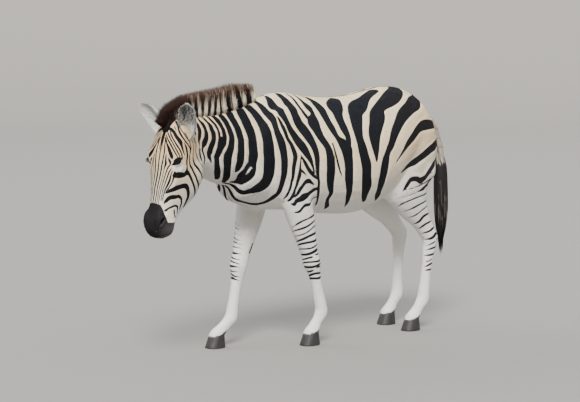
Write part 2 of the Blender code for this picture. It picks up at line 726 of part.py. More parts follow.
def mane():
    """The upright brush along the crest of the neck, from between the ears to the withers."""
    crest = spline([(0, y, z, 0, y, z) for y, z in MANE_LINE], 24)[:, 0:3]
    rows = []
    for i, place in enumerate(crest):
        share = i / (len(crest) - 1)
        step = crest[min(i + 1, len(crest) - 1)] - crest[max(i - 1, 0)]
        up = np.array((0, -step[2], step[1]))
        up /= np.linalg.norm(up)
        height = MANE_HEIGHT * float(np.interp(share, *zip(*MANE_PROFILE)))
        top, low = place + up * height, place - up * MANE_ROOT
        rows.append((*turned(top), *turned(low), MANE_THICK / 2, 0.45, 4.0, 4.0))
    return loft("mane", rows, 16, ring=8, sideways=None)


def tail_tuft():
    rows = []
    for y, z, front, back, half in TAIL_HAIR:
        x = TAIL_SWING * max(0, TAIL_BONE[0][1] - z)
        rows.append((x, y - front, z, x, y + back, z, half, 0.5, 2, 2))
    return loft("tail_tuft", rows, 12, ring=12)


def material(name, colour, roughness):
    made = bpy.data.materials.new(name)
    made.use_nodes = True
    shader = made.node_tree.nodes["Principled BSDF"]
    shader.inputs["Base Color"].default_value = colour
    shader.inputs["Roughness"].default_value = roughness
    return made


def finish_looks():
    slots = {
        "hide": material("hide", LIGHT, 0.85),
        "mane_hair": material("mane_hair", DARK, 0.8),
        "hoof_horn": material("hoof_horn", HORN, 0.5),
        "eye_glass": material("eye_glass", DARK, 0.1),
    }
    for body in bpy.data.objects:
        if body.name.startswith("hoof_"):
            slot = "hoof_horn"
        elif body.name.startswith("eye_"):
            slot = "eye_glass"
        else:
            slot = "mane_hair" if body.name in ("mane", "tail_tuft") else "hide"
        body.data.materials.clear()
        body.data.materials.append(slots[slot])
        body.data.shade_smooth()
        body.data.set_sharp_from_angle(angle=radians(50))


def centre_all():
    """Puts the origin on the ground under the middle of the whole animal's box."""
    points = np.concatenate([coordinates(body) for body in bpy.data.objects])
    centre = (points.min(0) + points.max(0)) / 2
    for body in bpy.data.objects:
        body.data.transform(Matrix.Translation((-centre[0], -centre[1], 0)))


def main():
    for body in list(bpy.data.objects):
        bpy.data.objects.remove(body)
    whole = flesh()
    shell = twin(whole, "shell", GAP)
    for side in (1, -1):
        eye(side)
        cut(whole, socket(side))
        cut(whole, nostril_hole(side))
        cut(ear(side), shell, keep=True)
    cut(mane(), shell, keep=True)
    tuft = tail_tuft()
    cut(tuft, shell)
    for name in LEGS:
        take_leg(whole, name)
    part_trunk(whole)
    centre_all()
    finish_looks()


main()
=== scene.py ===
import math

import bmesh
import bpy
import numpy as np
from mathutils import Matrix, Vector


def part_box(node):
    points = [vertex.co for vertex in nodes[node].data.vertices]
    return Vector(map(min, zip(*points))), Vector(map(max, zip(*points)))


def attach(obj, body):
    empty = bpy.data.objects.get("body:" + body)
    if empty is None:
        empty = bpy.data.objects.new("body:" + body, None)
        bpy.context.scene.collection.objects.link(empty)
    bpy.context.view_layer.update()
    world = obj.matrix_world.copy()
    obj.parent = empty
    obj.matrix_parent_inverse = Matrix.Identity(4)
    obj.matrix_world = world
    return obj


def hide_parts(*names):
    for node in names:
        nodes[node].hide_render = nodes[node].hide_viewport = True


# Looks of a life-size standing plains zebra: one skin laid over the solid parts, with a coat of
# short flat tufts, an upright mane, a tail, eyes with lids, ears and hooves.

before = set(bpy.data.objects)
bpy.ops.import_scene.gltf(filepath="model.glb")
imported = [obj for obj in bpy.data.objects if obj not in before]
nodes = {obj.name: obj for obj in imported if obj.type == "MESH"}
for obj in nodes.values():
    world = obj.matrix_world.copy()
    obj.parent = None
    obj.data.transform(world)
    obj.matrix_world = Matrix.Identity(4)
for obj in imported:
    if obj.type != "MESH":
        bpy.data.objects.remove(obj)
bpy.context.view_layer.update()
rng = np.random.default_rng(11)

# ------------------------------------------------------------ places on the animal

HEAD_SIZE, HEAD_PITCH, HEAD_TURN = 0.965, math.radians(75), math.radians(11)
POLL_Y, POLL_Z = -1.090, 1.180
NECK_BASE, NECK_REACH, TURN_PIVOT = -0.45, 0.60, -0.50
SIDES = (1, -1)  # left, then right
# Places on the head: down the face from the poll, below its front line, and to the side.
EYE_PLACE = (0.200, 0.026, 0.078)
NOSTRIL_PLACE = (0.500, 0.020, 0.048)
EYE_RADIUS = 0.022
# How deep the head's middle lies below its front line, by the place down the face.
HEAD_MIDDLE = ((0, 0.1, 0.2, 0.3, 0.4, 0.5, 0.58), (0.07, 0.10, 0.105, 0.095, 0.075, 0.065, 0.06))
MOVED = np.zeros(3)  # from the tables' origin to the frame's, set from the left eye below


def swung(points, angle):
    """Points turned about the upright line at the base of the neck."""
    x, y = points[:, 0], points[:, 1] - TURN_PIVOT
    s, c = np.sin(angle), np.cos(angle)
    return np.stack([x * c - y * s, x * s + y * c + TURN_PIVOT, points[:, 2]], 1)


def on_head(down, below, side):
    """Places on the head: down the face from the poll, below its front line, and to the left."""
    sized = [np.atleast_1d(v) * HEAD_SIZE for v in (down, below, side)]
    down, below, side = np.broadcast_arrays(*sized)
    y = POLL_Y - math.cos(HEAD_PITCH) * down + math.sin(HEAD_PITCH) * below
    z = POLL_Z - math.sin(HEAD_PITCH) * down - math.cos(HEAD_PITCH) * below
    return swung(np.stack([side, y, z], 1), HEAD_TURN) + MOVED


def head_places(points):
    """The inverse of on_head, and the angle round the head from the middle of the face."""
    q = swung(points - MOVED, -HEAD_TURN)
    dy, dz = q[:, 1] - POLL_Y, q[:, 2] - POLL_Z
    down = (-math.cos(HEAD_PITCH) * dy - math.sin(HEAD_PITCH) * dz) / HEAD_SIZE
    below = (math.sin(HEAD_PITCH) * dy - math.cos(HEAD_PITCH) * dz) / HEAD_SIZE
    side = q[:, 0] / HEAD_SIZE
    return down, below, side, np.degrees(np.arctan2(side, np.interp(down, *HEAD_MIDDLE) - below))


def straightened(points):
    """The animal with its neck and head swung back to the middle, found in a few rounds."""
    p = points - MOVED
    y = p[:, 1].copy()
    for _ in range(6):
        angle = -HEAD_TURN * np.clip((NECK_BASE - y) / NECK_REACH, 0, 1)
        y = p[:, 0] * np.sin(angle) + (p[:, 1] - TURN_PIVOT) * np.cos(angle) + TURN_PIVOT
    return swung(p, angle)


# Height of the body's middle line and the body's mean radius, each by the place along the body.
AXIS = np.array([(-1.15, 1.08), (-1.0, 1.075), (-0.8, 1.05), (-0.6, 1.03), (-0.45, 1.01), (-0.3, 0.985),
                 (0.0, 0.96), (0.3, 0.99), (0.5, 1.03), (0.72, 1.06)])
GIRTH = np.array([(-1.0, 0.10), (-0.8, 0.13), (-0.6, 0.18), (-0.45, 0.24), (-0.3, 0.28), (0.0, 0.30),
                  (0.3, 0.29), (0.5, 0.24), (0.7, 0.15)])


def body_places(points):
    """Along the body, the angle round it from the spine (left is positive) and the radius there."""
    q = straightened(points)
    up = q[:, 2] - np.interp(q[:, 1], *AXIS.T)
    return q[:, 1], np.degrees(np.arctan2(q[:, 0], up)), np.interp(q[:, 1], *GIRTH.T)


def middle_of(node):
    low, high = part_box(node)
    return np.array((low + high) / 2)


MOVED = middle_of("eye_left") - on_head(*EYE_PLACE)[0]

# ------------------------------------------------------------ meshes in numpy


def mesh_arrays(data):
    """Points, edges and triangles' corners of a mesh."""
    points = np.empty(len(data.vertices) * 3)
    data.vertices.foreach_get("co", points)
    edges = np.empty(len(data.edges) * 2, np.int32)
    data.edges.foreach_get("vertices", edges)
    data.calc_loop_triangles()
    corners = np.empty(len(data.loop_triangles) * 3, np.int32)
    data.loop_triangles.foreach_get("vertices", corners)
    return points.reshape(-1, 3), edges.reshape(-1, 2), corners.reshape(-1, 3)


def put_points(data, points):
    data.vertices.foreach_set("co", np.asarray(points, np.float32).ravel())
    data.update()


def smooth_faces(data):
    for face in data.polygons:
        face.use_smooth = True


def unit(vectors):
    return vectors / np.linalg.norm(vectors, axis=-1, keepdims=True)


def point_normals(points, corners):
    a, b, c = (points[corners[:, k]] for k in range(3))
    across = np.cross(b - a, c - a)
    total = np.zeros_like(points)
    for axis in range(3):
        total[:, axis] = sum(np.bincount(corners[:, k], across[:, axis], len(points)) for k in range(3))
    return total / np.maximum(np.linalg.norm(total, axis=1), 1e-12)[:, None]


def eased(points, edges, share, rounds, pull=0.5, push=-0.53):
    """Smoothing that keeps the volume: `share` says how much of it each point takes."""
    points = points.copy()
    count = np.bincount(edges.ravel(), minlength=len(points))[:, None]
    for k in range(rounds * 2):
        total = np.empty_like(points)
        for axis in range(3):
            column = points[:, axis]
            total[:, axis] = np.bincount(edges[:, 0], column[edges[:, 1]], len(points))
            total[:, axis] += np.bincount(edges[:, 1], column[edges[:, 0]], len(points))
        points += (pull if k % 2 == 0 else push) * share[:, None] * (total / np.maximum(count, 1) - points)
    return points


def new_object(name, data):
    made = bpy.data.objects.new(name, data)
    bpy.context.scene.collection.objects.link(made)
    return made


def merged_copy(name, members, cell, grow=0.0, balls=()):
    """Copies of CAD nodes, each grown a little, joined in one closed skin with cells of one size.

    `balls` are added to it as (centre, radius). Gives the object and its points, edges and corners.
    """
    whole = bmesh.new()
    for member in members:
        part = bmesh.new()
        part.from_mesh(nodes[member].data)
        bmesh.ops.remove_doubles(part, verts=part.verts, dist=1e-5)
        part.normal_update()
        moves = [vertex.normal * grow for vertex in part.verts]
        for vertex, move in zip(part.verts, moves):
            vertex.co += move
        data = bpy.data.meshes.new("part")
        part.to_mesh(data)
        part.free()
        whole.from_mesh(data)
        bpy.data.meshes.remove(data)
    for centre, radius in balls:
        made = bmesh.ops.create_icosphere(whole, subdivisions=4, radius=radius)
        bmesh.ops.translate(whole, verts=made["verts"], vec=Vector(centre))
    data = bpy.data.meshes.new(name)
    whole.to_mesh(data)
    whole.free()
    made = new_object(name, data)
    step = made.modifiers.new("skin", "REMESH")
    step.mode, step.voxel_size, step.adaptivity = "VOXEL", cell, 0.0
    graph = bpy.context.evaluated_depsgraph_get()
    made.data = bpy.data.meshes.new_from_object(made.evaluated_get(graph))
    made.modifiers.clear()
    bpy.data.meshes.remove(data)
    return made, *mesh_arrays(made.data)


def refined(obj, chosen):
    """Edges between chosen points are parted in two. Gives the new points, edges and corners."""
    mesh = bmesh.new()
    mesh.from_mesh(obj.data)
    mesh.verts.ensure_lookup_table()
    edges = [edge for edge in mesh.edges if all(chosen[end.index] for end in edge.verts)]
    bmesh.ops.subdivide_edges(mesh, edges=edges, cuts=1, use_grid_fill=True)
    bmesh.ops.triangulate(mesh, faces=[face for face in mesh.faces if len(face.verts) > 3])
    mesh.to_mesh(obj.data)
    mesh.free()
    return mesh_arrays(obj.data)


# ------------------------------------------------------------ lines and ramps


def curve_through(rows, steps=5):
    """Rows of numbers joined by a smooth curve through them."""
    rows = np.array(rows, float)
    ends = np.concatenate([2 * rows[:1] - rows[1:2], rows, 2 * rows[-1:] - rows[-2:-1]])
    a, b, c, d = ends[:-3, None], ends[1:-2, None], ends[2:-1, None], ends[3:, None]
    t = (np.arange(steps) / steps)[None, :, None]
    between = b + 0.5 * t * (c - a + t * (2 * a - 5 * b + 4 * c - d + t * (3 * (b - c) + d - a)))
    return np.concatenate([between.reshape(-1, rows.shape[1]), rows[-1:]])


FAR_OUT = -0.03  # depth of a place with no line near it
LINE_PAD, LINE_TURN_PAD = 0.04, 25  # how far past a line's ends it is looked for, in metres and degrees


def line_depth(along, around, scale, lines):
    """How far inside the nearest dark line each place lies, in metres; negative is outside."""
    depth = np.full(len(along), FAR_OUT)
    for line in lines:
        line = curve_through(line)
        low, high = line.min(0), line.max(0)
        near = (along > low[0] - LINE_PAD) & (along < high[0] + LINE_PAD)
        near &= (around > low[1] - LINE_TURN_PAD) & (around < high[1] + LINE_TURN_PAD)
        i = np.flatnonzero(near)
        if len(i) == 0:
            continue
        u, v, s = along[i, None], around[i, None], scale[i, None]
        a, b = line[:-1], line[1:]
        du, dv = (b[:, 0] - a[:, 0])[None], (b[:, 1] - a[:, 1])[None] * s
        qu, qv = u - a[:, 0], (v - a[:, 1]) * s
        t = np.clip((qu * du + qv * dv) / (du * du + dv * dv + 1e-12), 0, 1)
        gap = np.hypot(qu - t * du, qv - t * dv)
        half = np.maximum(a[:, 2] + t * (b[:, 2] - a[:, 2]), 0)
        depth[i] = np.maximum(depth[i], (half - gap).max(1))
    return depth


def ramp(value, low, high):
    """0 below the low value, 1 above the high one, and smooth between."""
    t = np.clip((value - low) / (high - low), 0, 1)
    return t * t * (3 - 2 * t)


def band(value, start, full, falling, end):
    """1 within a band and 0 outside it, with smooth edges."""
    return ramp(value, start, full) * (1 - ramp(value, falling, end))


def mixed(a, b, share):
    """Colours or directions between a and b, one for each share."""
    return a + (b - a) * np.asarray(share)[:, None]


# ------------------------------------------------------------ skin

LEGS = ("foreleg_left", "foreleg_right", "hindleg_left", "hindleg_right")
FLESH = ("head", "neck", "trunk", "tail", *LEGS)
LID_THICK = 0.0022
eye_centres = {1: middle_of("eye_left"), -1: middle_of("eye_right")}
lid_balls = [(centre, EYE_RADIUS + LID_THICK) for centre in eye_centres.values()]
skin, points, edges, corners = merged_copy("skin", FLESH, cell=0.0066, grow=0.001, balls=lid_balls)


def head_share(points):
    """1 on the head, falling to 0 on the neck behind it."""
    q = straightened(points)
    line = np.interp(q[:, 2], [0.880, 1.200], [-0.845, -1.010])
    return np.clip((line - q[:, 1]) / 0.03, 0, 1) * (points[:, 2] > 0.5)


def leg_share(points):
    """1 on the legs, falling to 0 above the elbow and the stifle."""
    return np.clip((0.72 - points[:, 2]) / 0.12, 0, 1)


ease = 1 - 0.86 * head_share(points) - 0.45 * leg_share(points)
points = eased(points, edges, ease, 30)
put_points(skin.data, points)


def head_axes(place, side):
    """A place of the head on one side, and the directions down the face, back and outwards there."""
    down, below, out = place
    start = on_head(down, below, out * side)[0]
    steps = ((down + 0.01, below, out), (down, below + 0.01, out), (down, below, out + 0.01))
    return start, *(unit(on_head(a, b, c * side)[0] - start) for a, b, c in steps)


def eye_axes(side):
    """Outward, inner-to-outer corner and upward directions of an eye."""
    _, face_down, face_back, sideways = head_axes(EYE_PLACE, side)
    outward = unit(0.90 * sideways - 0.42 * face_back - 0.02 * face_down)
    face_down = unit(face_down - outward * (face_down @ outward))
    face_back = np.cross(outward, face_down) * (1 if np.cross(outward, face_down) @ face_back > 0 else -1)
    return outward, -0.72 * face_down + 0.69 * face_back, -0.69 * face_down - 0.72 * face_back


EYE_HALF = 0.0205  # half the length of the eye's opening
LID_REACH = 0.034  # how far from the eye's middle the lids reach


def lid_heights(across):
    """How far the upper and lower lid lie from the line between the corners."""
    share = np.clip(1 - (across / EYE_HALF) ** 2, 0, 1)
    lean = 1 - 7 * across
    return 0.0104 * share ** 0.75 * lean, -0.0088 * share ** 0.85


def eye_places(points, side):
    """Places round an eye: outwards, across, up, and the distance from its middle."""
    outward, across, up = eye_axes(side)
    q = points - eye_centres[side]
    return q @ outward, q @ across, q @ up, np.linalg.norm(q, axis=1)


def eye_gap(points):
    """The distance from the middle of the nearer eye."""
    return np.min([np.linalg.norm(points - c, axis=1) for c in eye_centres.values()], axis=0)


def eye_opening(across, up):
    """How far inside the almond between the lids a place lies; below 0 outside."""
    high, low = lid_heights(across)
    past = np.abs(across) - EYE_HALF
    return np.where(past < 0, np.minimum(high - up, up - low), -np.hypot(past, up))


def bump(value, middle, width):
    """1 at the middle, falling away on both sides."""
    return np.exp(-((value - middle) / width) ** 2)


# Creases round the eye: distance from the opening (below 0 outside), width and depth.
LID_CREASES = ((-0.0062, 0.0011, 0.0013), (-0.0112, 0.0015, 0.0010), (-0.0165, 0.0018, 0.0006))


def lids(points):
    """The skin opened over each eye in the shape of an almond, with a rim and creases round it."""
    points = points.copy()
    for side in SIDES:
        out, across, up, reach = eye_places(points, side)
        opening = eye_opening(across, up)
        in_front = (out > 0) & (reach < LID_REACH)
        inside = in_front & (opening > 0)
        wanted = np.where(inside, EYE_RADIUS - 0.004, np.maximum(reach, EYE_RADIUS + 0.0012))
        upper, lower = bump(opening, -0.0040, 0.0036) * 0.0024, bump(opening, -0.0022, 0.0020) * 0.0003
        form = np.where(up > 0, upper, lower)
        for place, width, deep in LID_CREASES:
            form = form - bump(opening, place, width) * deep
        wanted = wanted + np.where(in_front & ~inside, form, 0)
        moved = eye_centres[side] + (points - eye_centres[side]) * (wanted / np.maximum(reach, 1e-6))[:, None]
        points = np.where(in_front[:, None], moved, points)
    return points


# The line of the mouth, and on the face the crest and veins: place down the face, then place below its
# front line, or degrees round the head and half width.
MOUTH = ((0.440, 0.101), (0.47, 0.099), (0.50, 0.091), (0.53, 0.078), (0.555, 0.061), (0.58, 0.036))
CHEEK_CREST = ((0.235, 64, 0.003), (0.27, 60, 0.0035), (0.31, 57, 0.003), (0.35, 54, 0.001))
FACE_VEINS = (
    ((0.225, 45, 0.001), (0.26, 43, 0.001), (0.30, 46, 0.001), (0.35, 47, 0.001), (0.40, 44, 0.001)),
    ((0.26, 95, 0.001), (0.30, 84, 0.001), (0.34, 76, 0.001), (0.38, 62, 0.001)),
    ((0.24, 70, 0.001), (0.28, 88, 0.001), (0.32, 100, 0.001)),
)


NOSTRIL_LONG, NOSTRIL_WIDE = 0.021, 0.0075
NOSTRIL_REACH = 0.05


def nostril_places(points, side):
    """Round a nostril: 1 on its edge and 0 in its middle, the place across it and the distance."""
    centre, face_down, face_back, _ = head_axes(NOSTRIL_PLACE, side)
    q = points - centre
    a, c = q @ face_down, q @ face_back
    along = 0.95 * a - 0.31 * c
    across = 0.31 * a + 0.95 * c - 6 * along * along
    return np.hypot(along / NOSTRIL_LONG, across / NOSTRIL_WIDE), across, np.linalg.norm(q, axis=1)


def sculpted(points, normals):
    """Forms too fine for the solids: nostrils, lips, chin, cheek crest and veins."""
    down, below, _, angle = head_places(points)
    on = head_share(points) > 0.5
    move = np.zeros(len(points))
    for which in SIDES:
        ring, across, reach = nostril_places(points, which)
        pit = -0.016 * ramp(1.12 - ring, 0.0, 0.75)
        wing = 0.0035 * bump(ring, 1.55, 0.42) * ramp(across + 0.02, 0, 0.02)
        move += np.where(on & (reach < NOSTRIL_REACH), pit + wing, 0)
    gap = below - np.interp(down, *np.array(MOUTH).T)
    slit = bump(gap, 0, 0.0017) * ramp(down, 0.438, 0.452)
    lips = bump(np.abs(gap), 0.008, 0.006) * ramp(down, 0.46, 0.50)
    move += np.where(on, -0.0045 * slit + 0.0016 * lips, 0)
    degree = np.full(len(points), 0.0016)  # metres to a degree round the head
    crest = line_depth(down, np.abs(angle), degree, (CHEEK_CREST,))
    move += np.where(on, 0.0024 * ramp(crest, -0.012, 0.002), 0)
    vein = line_depth(down, np.abs(angle), degree, FACE_VEINS)
    move += np.where(on, 0.0009 * ramp(vein, -0.0028, 0.0006), 0)
    chin = np.exp(-((down - 0.53) / 0.02) ** 2 - ((below - 0.108) / 0.012) ** 2)
    move += np.where(on, 0.002 * chin, 0)
    return points + normals * move[:, None]


def near_details(points):
    """Whether a point lies near an eye, a nostril or the mouth."""
    near_nostrils = np.min([nostril_places(points, side)[2] for side in SIDES], axis=0)
    down, below, _, _ = head_places(points)
    mouth_gap = np.abs(below - np.interp(down, *np.array(MOUTH).T))
    at_mouth = (mouth_gap < 0.012) & (down >= 0.43) & (head_share(points) >= 0.9)
    return (eye_gap(points) < 0.045) | (near_nostrils < 0.040) | at_mouth


points, edges, corners = refined(skin, head_share(points) > 0.3)
points, edges, corners = refined(skin, near_details(points))
points, edges, corners = refined(skin, eye_gap(points) < 0.032)
points = sculpted(points, point_normals(points, corners))
points = eased(points, edges, (head_share(points) > 0.5) * 0.5, 2)
points = lids(points)
put_points(skin.data, points)
smooth_faces(skin.data)

# ------------------------------------------------------------ markings


def in_metres(lines):
    """Rows of lines whose place and half width are read in millimetres."""
    return [[(along / 1000, around, half / 1000) for along, around, half in line] for line in lines]


# Dark stripes as lines over the left side: along the body, degrees round it from the spine, half width.
BODY_STRIPES = in_metres((
    # neck, from behind the ear backwards
    ((-975, 60, 8), (-977, 70, 7), (-980, 80, 6)),
    ((-930, 30, 8), (-932, 40, 13.5), (-935, 50, 15), (-940, 60, 14.5), (-947, 70, 13), (-953, 80, 9.5),
     (-953, 90, 6), (-951, 100, 4)),
    ((-882, 10, 5), (-889, 20, 8), (-888, 30, 15), (-886, 40, 15), (-887, 50, 13), (-889, 60, 15.5),
     (-895, 70, 16.5), (-904, 80, 18), (-915, 90, 18), (-924, 100, 9), (-926, 110, 6), (-914, 120, 5),
     (-900, 130, 5), (-885, 145, 2)),
    ((-849, 10, 8), (-845, 20, 9), (-839, 30, 12), (-835, 40, 15), (-836, 50, 17.5), (-835, 60, 17.5),
     (-839, 70, 16), (-846, 80, 16), (-857, 90, 17.5), (-868, 100, 18.5), (-874, 110, 19.5),
     (-875, 120, 14), (-859, 130, 7.5), (-850, 137, 2)),
    ((-806, 8, 10), (-807, 20, 10), (-799, 30, 11), (-794, 40, 10), (-793, 50, 8), (-795, 60, 8.5),
     (-798, 70, 9), (-786, 80, 28), (-798, 90, 23.5), (-808, 100, 19.5), (-816, 110, 20), (-823, 120, 17),
     (-818, 130, 15.5), (-807, 140, 16.5), (-790, 150, 17.5), (-770, 160, 14)),
    ((-763, 8, 16), (-762, 20, 19), (-760, 30, 16.5), (-759, 40, 14), (-758, 50, 14.5), (-760, 60, 15.5),
     (-764, 70, 15.5), (-775, 80, 18)),
    ((-710, 8, 14), (-716, 20, 19), (-715, 50, 18), (-718, 72, 18), (-731, 90, 20), (-750, 108, 24),
     (-756, 120, 26), (-745, 138, 21), (-726, 152, 20), (-715, 164, 12)),
    ((-649, 8, 21.5), (-662, 20, 23), (-661, 40, 21.5), (-662, 60, 22), (-665, 80, 20), (-670, 90, 20),
     (-675, 100, 21), (-678, 110, 22.5), (-680, 120, 22), (-686, 130, 17.5), (-692, 137, 6)),
    ((-577, 8, 22), (-589, 20, 26), (-594, 40, 27), (-593, 60, 26), (-595, 70, 25), (-599, 80, 25),
     (-601, 90, 26), (-603, 100, 26), (-608, 110, 24.5), (-610, 116, 22)),
    ((-610, 110, 15), (-625, 120, 12), (-640, 131, 12), (-655, 142, 16), (-655, 152, 14)),
    ((-605, 110, 12), (-598, 120, 10), (-607, 131, 12), (-625, 140, 12), (-650, 153, 10), (-680, 160, 6)),
    ((-527, 8, 20), (-520, 40, 20), (-520, 70, 24), (-522, 95, 29), (-521, 115, 31), (-529, 130, 28),
     (-550, 139, 22), (-575, 146, 16), (-600, 153, 10), (-640, 163, 8), (-700, 168, 7)),
    # shoulder
    ((-470, 4, 10), (-470, 12, 12), (-468, 30, 19), (-468, 50, 16), (-467, 62, 17), (-450, 80, 24),
     (-440, 95, 21), (-436, 112, 18.5), (-440, 130, 14), (-445, 142, 12.5), (-462, 150, 14),
     (-487, 159, 12), (-535, 167, 9), (-600, 171, 8), (-670, 177, 8)),
    ((-442, 43, 3), (-437, 50, 7.5), (-427, 60, 10.5), (-413, 72, 10.5), (-393, 80, 12), (-378, 92, 13.5),
     (-381, 100, 11.5), (-386, 110, 10.5), (-387, 120, 8.5), (-393, 130, 6), (-401, 140, 5),
     (-406, 145, 2)),
    ((-400, 4, 10), (-405, 10, 14), (-416, 22, 24), (-410, 32, 20), (-413, 42, 19), (-402, 51, 16),
     (-389, 60, 19), (-363, 70, 23.5), (-337, 80, 26), (-312, 90, 19), (-287, 100, 9), (-268, 112, 3)),
    # fan of marks over the upper arm
    ((-347, 92, 3), (-337, 96, 7), (-325, 100, 10), (-312, 104.5, 11), (-295, 109, 11.5), (-270, 113.5, 9),
     (-252, 116, 5)),
    ((-348, 95, 3), (-350, 105, 5), (-350, 111, 8.5), (-352, 117, 10.5), (-358, 123, 8), (-362, 127, 7),
     (-369, 131, 6.5), (-373, 136, 7), (-379, 140.5, 6), (-388, 144.5, 3)),
    ((-345, 110, 8), (-328, 112, 6), (-312, 114.5, 2)),
    ((-258, 123.5, 3), (-280, 121, 9), (-297, 120, 13), (-312, 122, 10), (-322, 125, 9), (-341, 130, 9),
     (-352, 134, 7.5), (-367, 138, 3)),
    ((-228, 127, 6), (-246, 128.5, 10), (-268, 131.5, 10), (-290, 133.5, 11), (-317, 135.5, 13.5),
     (-338, 138, 9), (-353, 140, 7.5), (-360, 143, 6), (-374, 144.5, 2)),
    ((-215, 138, 4), (-240, 139.5, 3), (-262, 140.5, 4), (-295, 140.5, 5.5), (-316, 142.5, 5),
     (-328, 145, 4.5), (-352, 148, 2)),
    # barrel
    ((-328, 5, 16), (-330, 18, 20), (-333, 30, 28), (-338, 40, 28), (-330, 50, 31), (-307, 60, 29),
     (-288, 70, 25), (-271, 80, 19), (-261, 90, 15.5), (-257, 100, 13), (-252, 110, 10), (-235, 120, 7),
     (-221, 130, 8), (-200, 140, 6), (-180, 150, 5)),
    ((-276, 6, 5), (-277, 20, 8), (-278, 30, 8), (-269, 40, 10), (-255, 48, 12)),
    ((-235, 5, 8), (-233, 20, 10), (-225, 30, 20.5), (-222, 40, 13), (-240, 50, 33), (-235, 60, 25.5),
     (-222, 70, 21), (-197, 80, 19.5), (-186, 90, 22.5), (-182, 100, 24), (-178, 110, 23.5),
     (-168, 120, 19.5), (-145, 130, 12), (-140, 140, 10), (-108, 150, 12), (-100, 156, 3)),
    ((-165, 76, 4), (-150, 92, 5.8), (-130, 104, 5.5), (-112, 110, 3)),
    ((-165, 4, 10), (-160, 12, 14), (-154, 30, 27), (-156, 40, 24), (-155, 50, 20.5), (-146, 60, 20.5),
     (-129, 70, 15.5), (-92, 80, 34), (-84, 90, 28.5), (-77, 100, 25), (-71, 110, 25), (-53, 120, 20),
     (-35, 130, 16), (-15, 140, 9), (-5, 147, 2)),
    ((10, 15, 30), (-51, 30, 46), (-69, 40, 31), (-78, 50, 25.5), (-74, 60, 24), (-67, 70, 17),
     (-80, 80, 20)),
    ((300, 10, 30), (200, 20, 30), (105, 32, 50), (53, 40, 44.5), (26, 50, 40), (9, 60, 32.5),
     (3, 70, 25.5), (9, 80, 28), (19, 90, 30), (33, 100, 31), (40, 110, 29.5), (57, 120, 29.5),
     (69, 130, 19), (90, 138, 10)),
    # haunch
    ((470, 6, 30), (417, 20, 42), (338, 30, 50), (223, 40, 33), (176, 50, 48), (139, 60, 44),
     (107, 70, 40), (99, 80, 29), (98, 90, 14.5), (100, 96, 6)),
    ((600, 10, 18), (570, 22, 26), (530, 34, 30), (480, 42, 42), (420, 48, 36), (345, 55, 36),
     (295, 63, 30), (250, 72, 28), (215, 82, 24), (180, 90, 20), (162, 100, 30), (157, 112, 29),
     (160, 122, 25), (168, 132, 20), (200, 141, 16), (230, 147, 10)),
    ((660, 72, 22), (600, 72, 25), (500, 72, 28), (450, 74, 24), (395, 81, 23), (350, 86, 19),
     (310, 92, 11), (275, 98, 6), (250, 102, 4)),
    ((680, 102, 18), (610, 104, 22), (545, 106, 22), (495, 110, 21), (450, 112.5, 19), (410, 114, 18),
     (370, 115.5, 15), (335, 118, 10)),
    ((660, 126, 8), (600, 127, 11), (545, 129, 10), (515, 132, 12), (485, 133.5, 11), (445, 130, 10),
     (410, 129.5, 10), (390, 133, 10), (365, 139, 8)),
    ((580, 141, 10), (520, 142, 11), (460, 141, 10), (420, 143, 9), (385, 150, 6)),
))

